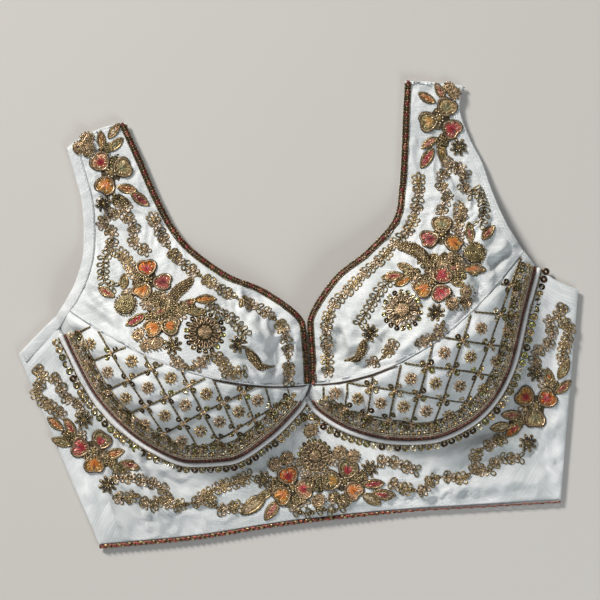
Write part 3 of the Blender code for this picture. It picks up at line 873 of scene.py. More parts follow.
def beadedTorus(major, minor, thick, pinch):      # every other ring of points drawn in, like beads on a wire
    deselectAll()
    bpy.ops.mesh.primitive_torus_add(
        major_segments=major, minor_segments=minor, major_radius=1.0, minor_radius=thick
    )
    step = 2.0 * math.pi / major

    def drawnIn(p):
        return round((math.atan2(p[1], p[0]) % (2.0 * math.pi)) / step) % 2 == 0
    editShape(lambda v: drawnIn(v.co), "VERT")
    bpy.ops.transform.shrink_fatten(value=-pinch * thick)
    return drawnIn


def ringMaster(across, long, cord, major=12, minor=5, root=0.78):
    beadedTorus(major, minor, cord / across, 0.24)

    def oval(p):
        narrow = root + (1.0 - root) * 0.5 * (1.0 + p[0])
        return np.array((p[0] * 0.5 * long, p[1] * 0.5 * across * narrow, p[2] * 0.5 * across + 0.35 * cord))

    def edge(p):                          # darker on the outside, towards the tip dye: painted shade along the loop's outer edge
        return min(1.0, max(0.0, (math.hypot(p[0], p[1]) - 1.0) * across / cord + 0.1))
    return takeMaster(oval, edge)


def domedDisc(corners, rings, height):
    deselectAll()
    bpy.ops.mesh.primitive_circle_add(vertices=corners, radius=1.0, fill_type="NGON")
    editShape()
    step = 1.0 / (rings + 1)
    for k in range(rings):
        rise = math.sin(0.5 * math.pi * (k + 1) * step) - math.sin(0.5 * math.pi * k * step)
        bpy.ops.mesh.inset(thickness=step * math.cos(math.pi / corners), depth=height * rise)
    bpy.ops.mesh.poke()


def petalOutline(turn, long, wide, notch):
    x = 0.5 * long * math.cos(turn) - notch * long * math.exp(-(turn / 0.34) ** 2)
    y = 0.5 * wide * math.sin(turn) * (1.0 + 0.22 * math.cos(turn))
    return x, y


def leafOutline(turn, long, wide, _):
    x = 0.5 * long * math.cos(turn)
    y = 0.5 * wide * math.sin(turn) * abs(math.sin(turn)) ** 0.45
    return x, y


def fillMaster(outline, long, wide, notch, high, corners=26, rings=4, crease=0.0):
    domedDisc(corners, rings, 1.0)

    def shape(p):
        turn, r = math.atan2(p[1], p[0]), min(1.0, math.hypot(p[0], p[1]))
        x, y = outline(turn, long, wide, notch)
        dent = crease * math.exp(-(r * y / 0.9) ** 2)
        ribs = 0.10 * math.cos(13.0 * turn) * r
        return np.array((r * x, r * y, max(0.0, p[2]) * (high - dent) + 0.15 + ribs))

    def tone(p):                          # the deep colour in the middle, the pale one at the rim
        return min(1.0, max(0.0, (math.hypot(p[0] + 0.15, p[1]) - 0.30) / 0.55))

    def thread(p):
        turn = abs(math.atan2(p[1], p[0] + 1.05))
        return np.array((1.9 * turn, 0.2 * math.hypot(p[0] + 1.05, p[1])))
    return takeMaster(shape, tone, thread)


def rimMaster(outline, long, wide, notch, cord, major, minor=6, flat=0.28):
    drawnIn = beadedTorus(major, minor, 0.1, 0.32)

    def shape(p):
        x, y = outline(math.atan2(p[1], p[0]), long, wide, notch)
        out = 1.0 + (math.hypot(p[0], p[1]) - 1.0) * 5.0 * cord / max(math.hypot(x, y), 0.5)
        return np.array((x * out, y * out, (10.0 * p[2] * flat + 0.26) * cord))

    def tone(p):                          # a dark edge outside, and dark between the beads: painted shade round the rim and in the pinches between its beads
        outer = (math.hypot(p[0], p[1]) - 1.0) * 10.0
        return min(1.0, max(0.0, (outer - 0.15) / 0.45) + (0.62 if drawnIn(p) else 0.0))
    return takeMaster(shape, tone)


def patchMaster(high):                    # a low dark patch, scaled where it is sewn: painted shade in the gaps between the beads and loops on it
    domedDisc(18, 2, 1.0)

    def shape(p):
        ragged = 0.5 + 0.03 * math.cos(7.0 * math.atan2(p[1], p[0]))
        return np.array((ragged * p[0], ragged * p[1], max(0.0, p[2]) * high))
    return takeMaster(shape)


def sequinMaster(across):
    deselectAll()
    bpy.ops.mesh.primitive_circle_add(vertices=12, radius=0.5 * across, fill_type="NGON")
    editShape()
    for thickness, depth in ((0.09, 0.13), (0.13, -0.10), (0.12, -0.01), (0.02, -0.06)):
        bpy.ops.mesh.inset(thickness=thickness * across, depth=depth * across)
    bpy.ops.mesh.delete(type="FACE")

    def tone(p):                          # a dark line round the rim: painted shade at the sequin's edge
        return 1.0 if math.hypot(p[0], p[1]) > 0.42 * across else 0.0
    return takeMaster(lambda p: p + (0.0, 0.0, 0.12), tone)


def beadMaster(long, wide, high, segments=6, rings=4, pinch=0.0):
    deselectAll()
    bpy.ops.mesh.primitive_uv_sphere_add(segments=segments, ring_count=rings, radius=1.0)
    editShape()
    bpy.ops.transform.rotate(value=math.radians(90.0), orient_axis="Y", center_override=(0.0, 0.0, 0.0))

    def shape(p):
        slim = 1.0 - pinch * p[0]
        return np.array((0.5 * long * p[0], 0.5 * wide * p[1] * slim, 0.5 * high * (p[2] + 0.6)))
    return takeMaster(shape)


def bugleMaster(long, wide):
    deselectAll()
    bpy.ops.mesh.primitive_cylinder_add(vertices=6, radius=0.5 * wide, depth=long, end_fill_type="NGON")
    editShape(lambda f: abs(f.normal.z) > 0.9)
    bpy.ops.mesh.inset(thickness=0.14 * wide, depth=0.12 * wide, use_individual=True)
    bpy.ops.mesh.select_all(action="SELECT")
    bpy.ops.transform.rotate(value=math.radians(90.0), orient_axis="Y", center_override=(0.0, 0.0, 0.0))
    return takeMaster(lambda p: p + (0.0, 0.0, 0.42 * wide))


def blockMaster(long, wide, high):        # a block of satin stitches
    deselectAll()
    bpy.ops.mesh.primitive_cube_add(size=1.0)
    editShape()
    bpy.ops.mesh.bevel(offset=0.22, segments=2)

    def shape(p):
        return np.array((long * p[0], wide * p[1], high * (p[2] + 0.45)))
    return takeMaster(shape, None, lambda p: np.array((0.45 * p[0], 0.3 * p[1])))


def spiralMaster(across, cord, dome):
    turns = 0.5 * across / cord
    count = int(math.pi * turns * across / (0.85 * cord))
    curve = bpy.data.curves.new("spiral", "CURVE")
    curve.dimensions = "3D"
    curve.bevel_depth = 0.56 * cord
    curve.bevel_resolution = 0
    line = curve.splines.new("POLY")
    line.points.add(count - 1)
    for k, spot in enumerate(line.points):
        share = math.sqrt((k + 2.0) / (count + 1.0))
        turn = 2.0 * math.pi * turns * share
        r = 0.5 * (across - cord) * share
        spot.co = (r * math.cos(turn), r * math.sin(turn), dome * (1.0 - share * share) + 0.3 * cord, 1.0)
        spot.radius = 1.15 if k % 2 else 0.78
    deselectAll()
    thing = bpy.data.objects.new("spiral", curve)
    bpy.context.scene.collection.objects.link(thing)
    bpy.context.view_layer.objects.active = thing
    thing.select_set(True)
    bpy.ops.object.convert(target="MESH")
    return takeMaster(None, lambda p: 0.0 if math.hypot(p[0], p[1]) < 0.42 * across else 1.0)


masters = {
    "loop": ringMaster(3.7, 4.6, 1.35),
    "loopSmall": ringMaster(3.3, 3.9, 1.25, 10),
    "loopLong": ringMaster(2.9, 5.4, 1.35, 12, 4, 0.6),
    "ring": ringMaster(3.0, 3.0, 1.3, 10, 4, 1.0),
    "petal": fillMaster(petalOutline, 12.4, 13.0, 0.10, 1.5),
    "petalRim": rimMaster(petalOutline, 14.2, 14.8, 0.10, 2.7, 60, 7, 0.40),
    "leaf": fillMaster(leafOutline, 12.0, 4.2, 0.0, 1.4, 20, 3, 0.6),
    "leafRim": rimMaster(leafOutline, 13.8, 5.6, 0.0, 2.3, 48, 5, 0.25),
    "patch": patchMaster(0.5),
    "sequin": sequinMaster(4.4),
    "grain": beadMaster(2.3, 1.3, 1.2, 6, 4, 0.25),
    "seed": beadMaster(1.25, 1.25, 1.2, 5, 4),
    "bugle": bugleMaster(4.6, 1.7),
    "block": blockMaster(2.6, 2.6, 1.4),
    "coil": spiralMaster(8.6, 1.15, 1.1),
    "disc": spiralMaster(17.0, 1.35, 2.0),
    "knot": spiralMaster(5.2, 1.05, 0.9),
}
print("masters made:", {name: len(master.faces) for name, master in masters.items()})

# Dyes, in linear light
dyes = {
    "olive": (0.240, 0.190, 0.088), "gold": (0.430, 0.305, 0.138), "pinkGold": (0.460, 0.320, 0.192),
    "pale": (0.740, 0.620, 0.410), "bronze": (0.062, 0.042, 0.020), "umber": (0.060, 0.030, 0.017),
    "red": (0.350, 0.016, 0.024), "darkRed": (0.160, 0.010, 0.012), "orange": (0.600, 0.160, 0.016),
    "peach": (0.620, 0.340, 0.180), "amber": (0.540, 0.265, 0.055), "moss": (0.200, 0.180, 0.075),
    "rose": (0.480, 0.125, 0.105), "cream": (0.900, 0.860, 0.680), "lime": (0.340, 0.320, 0.110),
    "black": (0.016, 0.013, 0.009), "rust": (0.260, 0.070, 0.038), "white": (0.88, 0.88, 0.89),
    # painted shade: the dark between packed beads and loops, on the patches under the motifs and along the
    # vine stems
    "gapShade": (0.075, 0.053, 0.028),
}

# Sewing the work on the cloth
stitched = {}                             # piece name to its parts
down = Vector((0.0, 0.0, -1.0))


def dropTo(x, y):                         # where a place in the tables lies on the cloth, and its normal
    start = Vector((x * mm, (y - outlineMiddle) * mm, 0.2))
    hit, normal, _, _ = clothTree.ray_cast(start, down)
    if hit is None:
        return Vector((start.x, start.y, layHeight(x) * mm)), Vector((0.0, 0.0, 1.0))
    return hit, normal if normal.z > 0.0 else -normal


def sew(
    piece, master, x, y, turn=0.0, size=(1.0, 1.0, 1.0), dye="gold", tip=None,
    lift=0.0, follow=False, level=0.0,
):
    master = masters[master]
    hit, normal = dropTo(x, y)
    normal = (normal - down * level).normalized()
    if follow or lift:
        near = [dropTo(x + 2.0 * math.cos(a), y + 2.0 * math.sin(a))[1] for a in (0.0, 2.1, 4.2)]
        normal = (normal + near[0] + near[1] + near[2]).normalized()
    angle = math.radians(turn)
    ahead = Vector((math.cos(angle), math.sin(angle), 0.0))
    ahead = (ahead - normal * ahead.dot(normal)).normalized()
    aside = normal.cross(ahead)
    scaled = master.points * (np.array(size) * mm)
    spots = np.array(hit) + scaled[:, :1] * np.array(ahead) + scaled[:, 1:2] * np.array(aside)
    up = np.array(normal)
    if follow:
        for k, spot in enumerate(spots):
            found = clothTree.ray_cast(Vector(spot + 0.008 * up), -normal, 0.016)
            if found[0] is not None:
                spots[k] = found[0]
    spots = spots + (scaled[:, 2:3] + lift * mm) * up
    first, last = np.array(dyes[dye]), np.array(dyes[tip or dye])
    colours = first + (last - first) * master.tone[:, None]
    stitched.setdefault(piece, []).append((spots, master.faces, colours, master.thread))


def laid(points, pitch=0.8, lift=0.0):    # a line that lies on the cloth, evened out, and its normals
    path = evenly(points, pitch=pitch)
    drops = [dropTo(x, y) for x, y in path[:, :2]]
    normals = np.array([tuple(n) for _, n in drops])
    padded = np.concatenate([normals[:1]] * 3 + [normals] + [normals[-1:]] * 3)
    normals = sum(padded[k:k + len(normals)] for k in range(7))
    normals /= np.linalg.norm(normals, axis=1)[:, None]
    spots = np.array([tuple(p) for p, _ in drops])
    if len(spots) > 4:
        spots[1:-1] = (spots[:-2] + spots[1:-1] + spots[2:]) / 3.0
    return spots + normals * lift * mm, normals


# A cord's changes: the pitch of its twist, rows drawn out, corners, a second dye and the length of its bands
cordDefaults = {"pitch": 0.0, "hatch": 0.0, "corners": 6, "tip": None, "band": 8.0}


def cordAlong(piece, spots, normals, wide, high, dye, **changes):
    look = {**cordDefaults, **changes}
    corners, rows = look["corners"], len(spots)
    run = np.gradient(spots, axis=0)
    run /= np.maximum(np.linalg.norm(run, axis=1), 1e-9)[:, None]
    aside = np.cross(normals, run)
    aside /= np.maximum(np.linalg.norm(aside, axis=1), 1e-9)[:, None]
    up = np.cross(run, aside)
    steps = np.linalg.norm(np.diff(spots, axis=0), axis=1)
    reached = np.concatenate([[0.0], np.cumsum(steps)]) / mm
    turns = np.arange(corners) * 2.0 * math.pi / corners
    radius = np.ones((rows, corners))
    phase = np.tile(turns, (rows, 1))
    if look["pitch"]:                     # two strands twisted round each other
        phase = phase + (2.0 * math.pi * reached / look["pitch"])[:, None]
        radius = radius + 0.26 * np.cos(2.0 * turns)
    radius = radius * (1.0 + look["hatch"] * (np.arange(rows) % 2)[:, None])
    ends = np.ones(rows)
    ends[[0, -1]] = 0.35
    across = 0.5 * mm * (np.broadcast_to(wide, rows) * ends)[:, None] * radius * np.cos(phase)
    rise = 0.5 * mm * (np.broadcast_to(high, rows) * ends)[:, None] * radius * np.sin(phase)
    points = spots[:, None] + across[..., None] * aside[:, None] + rise[..., None] * up[:, None]
    corner = np.arange(rows * corners).reshape(rows, corners)
    turned = np.roll(corner, -1, axis=1)
    faces = np.stack([corner[:-1], turned[:-1], turned[1:], corner[1:]], axis=-1).reshape(-1, 4)
    faces = [tuple(f) for f in faces.tolist()] + [tuple(corner[0][::-1].tolist()), tuple(corner[-1].tolist())]
    first, last = np.array(dyes[dye]), np.array(dyes[look["tip"] or dye])
    share = 0.5 + 0.5 * np.sign(np.sin(2.0 * math.pi * reached / look["band"]))
    colours = np.repeat(first + (last - first) * share[:, None], corners, axis=0)
    thread = np.stack([np.repeat(reached, corners) * 0.12, np.tile(turns, rows) * 0.1], axis=1)
    stitched.setdefault(piece, []).append((points.reshape(-1, 3), faces, colours, thread))


def couch(piece, line, step, lift, wide, high, dye, **changes):     # a cord sewn down along a line
    spots, normals = laid(line, step, lift)
    cordAlong(piece, spots, normals, wide, high, dye, **changes)


def joinStitched(piece, finish, stands=()):        # all the parts of a piece made one mesh
    points, faces, colours, threads = [], [], [], []
    start = 0
    for spots, partFaces, partColours, partThreads in stitched.pop(piece):
        points.append(spots)
        colours.append(partColours)
        threads.append(partThreads)
        faces += [tuple(k + start for k in face) for face in partFaces]
        start += len(spots)
    points = np.concatenate(points)
    made = meshPiece(piece, points.tolist(), faces, finishes[finish])
    colours = np.concatenate([np.concatenate(colours), np.ones((len(points), 1))], axis=1)
    made.data.attributes.new("dye", "FLOAT_COLOR", "POINT").data.foreach_set("color", colours.ravel())
    threads = np.concatenate([np.concatenate(threads), np.zeros((len(points), 1))], axis=1)
    made.data.attributes.new("thread", "FLOAT_VECTOR", "POINT").data.foreach_set("vector", threads.ravel())
    made.data.shade_smooth()
    if stands:
        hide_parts(*stands)
    print(piece, sum(len(face) - 2 for face in faces), "triangles")


# The motifs
def around(x, y, out, turn):              # the place a distance out from x, y in a direction
    return x + out * math.cos(math.radians(turn)), y + out * math.sin(math.radians(turn))


looped = {
    "clusterOut": 3.0, "pairOut": 3.1, "pairAngle": 56.0, "vineEvery": 4.9, "stem": 2.2, "stemBeadEvery": 2.5,
}


def cluster(x, y, turn=0.0, count=5, size=1.0, dye="pinkGold"):     # small loops round a bead
    # a dark patch under the loops: painted shade between them
    sew("shadePatches", "patch", x, y, turn, (5.0 * size, 5.0 * size, 0.8), "gapShade")
    for k in range(count):
        angle = turn + 360.0 * k / count
        place = around(x, y, looped["clusterOut"] * size, angle)
        sew("cluster_loops", "loopSmall", *place, angle, (1.02 * size, 0.95 * size, 1.0), dye, "bronze")
    sew("bead_seeds", "seed", x, y, turn, (1.5, 1.5, 1.2), "pale", lift=0.3)


def pair(x, y, turn, size=1.0, dye="olive"):                        # two leaf loops either side of the stem
    for angle in (turn - looped["pairAngle"], turn + looped["pairAngle"]):
        place = around(x, y, looped["pairOut"] * size, angle)
        sew("bead_loops", "loop", *place, angle, (size, size, 1.0), dye, "bronze")


def vine(points, pattern="ppf", size=1.0, dye="olive"):     # p a pair, f and g clusters, s a single loop
    path = evenly(points, pitch=looped["vineEvery"])
    # the stem cord is dyed as painted shade, the dark between the loop pairs
    couch("vine_stems", path, 1.3, 0.25, looped["stem"], 0.8, "gapShade", hatch=-0.3, corners=5)
    for x, y in evenly(points, pitch=looped["stemBeadEvery"]):
        sew("bead_seeds", "seed", x, y, 0.0, (1.1, 1.1, 1.2), "pinkGold", lift=0.45)
    run = np.gradient(path, axis=0)
    for k, (x, y) in enumerate(path):
        turn = math.degrees(math.atan2(run[k, 1], run[k, 0]))
        kind = pattern[k % len(pattern)]
        if kind == "p":
            pair(x, y, turn, size, dye)
        elif kind == "f":
            cluster(x, y, turn + 36.0, size=size)
        elif kind == "g":
            cluster(x, y, turn, 6, 1.12 * size, "gold")
        elif kind == "s":
            sew("bead_loops", "loop", x, y, turn, (size, size, 1.0), dye, "bronze")


filled = {
    "petalBeads": 14, "petalBeadsOut": 4.6, "leafStitches": 8, "leafStitchEvery": 1.25, "centreBeads": 7,
}


def petal(x, y, turn, inner, outer, size=1.0):
    sew("satin_petals", "petal", x, y, turn, (size, size, 1.0), inner, outer, follow=True)
    sew("petal_rims", "petalRim", x, y, turn, (size, size, 1.0), "pinkGold", "bronze", follow=True)
    for k in range(filled["petalBeads"]):           # a broken row of beads inside the rim
        angle = turn + (360.0 / filled["petalBeads"] * k + 9.0 * math.sin(5.0 * k))
        place = around(x, y, filled["petalBeadsOut"] * size, angle)
        shade = ("gold", outer, "pale")[k % 3]
        sew("bead_grains", "grain", *place, angle, (0.9, 0.8, 0.8), shade, lift=0.9)


def leaf(x, y, turn, inner, outer, size=1.0):
    sew("satin_petals", "leaf", x, y, turn, (size, size, 1.0), inner, outer, follow=True)
    sew("petal_rims", "leafRim", x, y, turn, (size, size, 1.0), "gold", "bronze", follow=True)
    for k in range(filled["leafStitches"]):         # slanting stitches either side of the midrib
        hand = 1.0 if k % 2 else -1.0
        place = around(x, y, (filled["leafStitchEvery"] * k - 4.4) * size, turn)
        place = around(*place, size, turn + 90.0 * hand)
        shade = ("gold", "pale", "bronze", outer)[k // 2]
        sew("bead_grains", "grain", *place, turn + 38.0 * hand, (0.95, 0.6, 0.8), shade, lift=0.75)


def flower(x, y, petals, size=1.0):
    # a dark patch under the petals: painted shade between them
    sew("shadePatches", "patch", x, y, 0.0, (17.0 * size, 17.0 * size, 1.0), "gapShade", follow=True)
    for px, py, inner, outer in petals:
        petal(px, py, math.degrees(math.atan2(py - y, px - x)), inner, outer, size)
    sew("coils", "knot", x, y, 0.0, (0.9, 0.9, 1.4), "gold", "bronze", follow=True, lift=0.6)
    for k in range(filled["centreBeads"]):
        place = around(x, y, 3.1, 360.0 / filled["centreBeads"] * k + 20.0)
        sew("bead_seeds", "seed", *place, 0.0, (1.25, 1.25, 1.3), "pale", lift=1.1)


def bugleFlower(x, y, turn=10.0, size=1.0):
    for k in range(8):
        angle = turn + 45.0 * k
        place = around(x, y, 4.2 * size, angle)
        sew("bead_loops", "loopLong", *place, angle, (0.98 * size, 0.95 * size, 0.9), "gold", "bronze")
        sew("bugle_beads", "bugle", *place, angle, (0.85 * size, 0.85 * size, 1.0), "black", lift=0.35)
    # a dark patch under the loops: painted shade between them
    sew("shadePatches", "patch", x, y, 0.0, (9.5 * size, 9.5 * size, 0.8), "bronze")
    sew("bead_seeds", "seed", x, y, 0.0, (1.7, 1.7, 1.5), "gold", lift=0.4)


def grainFlower(x, y, turn=0.0, size=1.0, dye="pinkGold"):
    for k in range(9):
        angle = turn + 40.0 * k
        place = around(x, y, 3.1 * size, angle)
        sew("bead_grains", "grain", *place, angle, (1.2 * size, 1.5 * size, 1.2), dye, lift=0.1)
        place = around(x, y, (1.35 + 0.35 * (k % 2)) * size, angle + 20.0)
        shade = ("gold", "bronze", "peach")[k % 3]
        sew("bead_seeds", "seed", *place, angle, (1.3, 1.25, 1.3), shade, lift=0.1)
    sew("bead_seeds", "seed", x, y, 0.0, (1.3, 1.3, 1.4), "pale", lift=0.3)


# The pale ones are painted glints: sequins that catch the light.
sequinDyes = ("olive", "moss", "gold", "moss", "olive", "gold", "umber", "lime", "olive", "pale", "bronze")


def sequin(x, y, size=1.0, dye=None, lift=0.0, level=0.0):
    shade = dye or sequinDyes[int(abs(math.sin(12.9 * x + 78.2 * y)) * (len(sequinDyes) - 0.001))]
    sew("sequins", "sequin", x, y, 0.0, (size, size, 1.0), shade, "umber", lift=lift, level=level)
    heart = "pale" if shade in ("umber", "bronze") else "gold"
    sew("bead_seeds", "seed", x, y, 0.0, (0.72, 0.72, 0.7), heart, lift=lift + 0.15, level=level)


rounds = {
    "beadEvery": 1.95, "coil": 1.22, "coilRings": (1.6, 4.1), "disc": 1.04, "discRings": (2.0, 4.3, 6.5, 8.6),
    "medallionShadePatch": 27.0, "medallionDisc": 0.72, "medallionRings": (0.9, 2.7, 4.6), "loops": 16,
    "innerBeadsOut": 6.9, "loopsOut": 9.7, "outerBeadsOut": 12.6, "sequins": 18, "sequinsOut": 14.6,
}


def beadRings(x, y, radii, size, fall=0.13):        # rings of beads over a coiled ground that falls away
    for radius in radii:
        count = int(2.0 * math.pi * radius / rounds["beadEvery"])
        for k in range(count):
            shade = ("gold", "olive", "pinkGold", "bronze")[(k + int(radius)) % 4]
            place = around(x, y, radius * size, 360.0 / count * k + 11.0 * radius)
            sew("bead_seeds", "seed", *place, 50.0 * k, (1.4, 1.3, 1.2), shade, lift=1.5 - fall * radius)


def medallion(x, y, size=1.0):
    gapShade, middle = rounds["medallionShadePatch"] * size, rounds["medallionDisc"] * size
    # a dark patch under the rings and loops: painted shade between them
    sew("shadePatches", "patch", x, y, 0.0, (gapShade, gapShade, 1.0), "gapShade", follow=True)
    sew("coils", "disc", x, y, 0.0, (middle, middle, 1.0), "pinkGold", "olive", follow=True)
    beadRings(x, y, rounds["medallionRings"], size)
    for k in range(rounds["loops"]):
        angle = 360.0 / rounds["loops"] * k
        place = around(x, y, rounds["innerBeadsOut"] * size, angle)
        sew("bead_seeds", "seed", *place, angle, (1.7, 1.7, 1.4), "bronze")
        place = around(x, y, rounds["loopsOut"] * size, angle)
        sew("bead_loops", "loopLong", *place, angle, (0.95, 1.15, 1.2), "pinkGold", "bronze")
        place = around(x, y, rounds["outerBeadsOut"] * size, angle + 11.2)
        sew("bead_seeds", "seed", *place, angle, (1.4, 1.4, 1.2), "olive")
    for k in range(rounds["sequins"]):
        turn = 360.0 / rounds["sequins"] * k + 6.0
        sequin(*around(x, y, rounds["sequinsOut"] * size, turn), size)


def coil(x, y, size=1.0):
    across = rounds["coil"] * size
    sew("coils", "coil", x, y, 0.0, (across, across, 1.0), "pinkGold", "olive", follow=True)
    beadRings(x, y, rounds["coilRings"], across, 0.26)


def disc(x, y, size=1.0):
    across = rounds["disc"] * size
    sew("coils", "disc", x, y, 0.0, (across, across, 1.0), "olive", "bronze", follow=True)
    beadRings(x, y, rounds["discRings"], size)


def horn(points, widest):                 # a curled horn filled with packed beads
    spots, normals = laid(points, 0.9, 0.3)
    share = np.linspace(0.0, 1.0, len(spots))
    wide = widest * np.clip(np.sin(math.pi * (0.08 + 0.92 * share) ** 0.8), 0.16, 1.0)
    cordAlong("coils", spots, normals, wide, 0.28 * wide + 0.4, "bronze", hatch=0.06, corners=8)
    packed = evenly(np.column_stack([spots[:, :2] / mm, wide]), pitch=1.55)
    run = np.gradient(packed[:, :2], axis=0)
    for k, (x, y, across) in enumerate(packed):
        away = np.array((-run[k, 1], run[k, 0])) / np.linalg.norm(run[k])
        count = max(1, int(across / 1.6))
        for n in range(count):
            shift = ((n + 0.5 + 0.25 * (k % 2)) / count - 0.5) * across
            rise = 0.14 * across * (1.0 - (2.0 * shift / across) ** 2)
            dye = ("gold", "olive", "pinkGold")[(k + 2 * n) % 3]
            place = (x + away[0] * shift, y + outlineMiddle + away[1] * shift)
            sew("packed_beads", "seed", *place, 17.0 * k, (1.2, 1.2, 1.2), dye, lift=rise)


def bed(x, y, long, wide, turn):          # a dark patch of painted shade between the motifs, filled with small beads
    sew("shadePatches", "patch", x, y, turn, (long + 1.5, wide + 1.5, 1.0), "gapShade", follow=True)
    for i in np.arange(-0.5 * long, 0.5 * long, 2.0):
        for j in np.arange(-0.5 * wide, 0.5 * wide, 1.85):
            if (2.0 * i / long) ** 2 + (2.0 * j / wide) ** 2 > 1.0:
                continue
            wave = math.sin(7.1 * i + 3.3 * j + x)
            place = around(x, y, math.hypot(i, j), turn + math.degrees(math.atan2(j, i)) + 4.0 * wave)
            dye = ("gold", "olive", "pinkGold", "bronze", "olive")[int(2.49 * (wave + 1.0))]
            if wave > 0.72:
                sew("packed_beads", "ring", *place, 0.0, (0.9, 0.9, 0.9), dye, "bronze", lift=0.4)
            else:
                sew("packed_beads", "seed", *place, 90.0 * wave, (1.5, 1.2, 1.2), dye, lift=0.4)


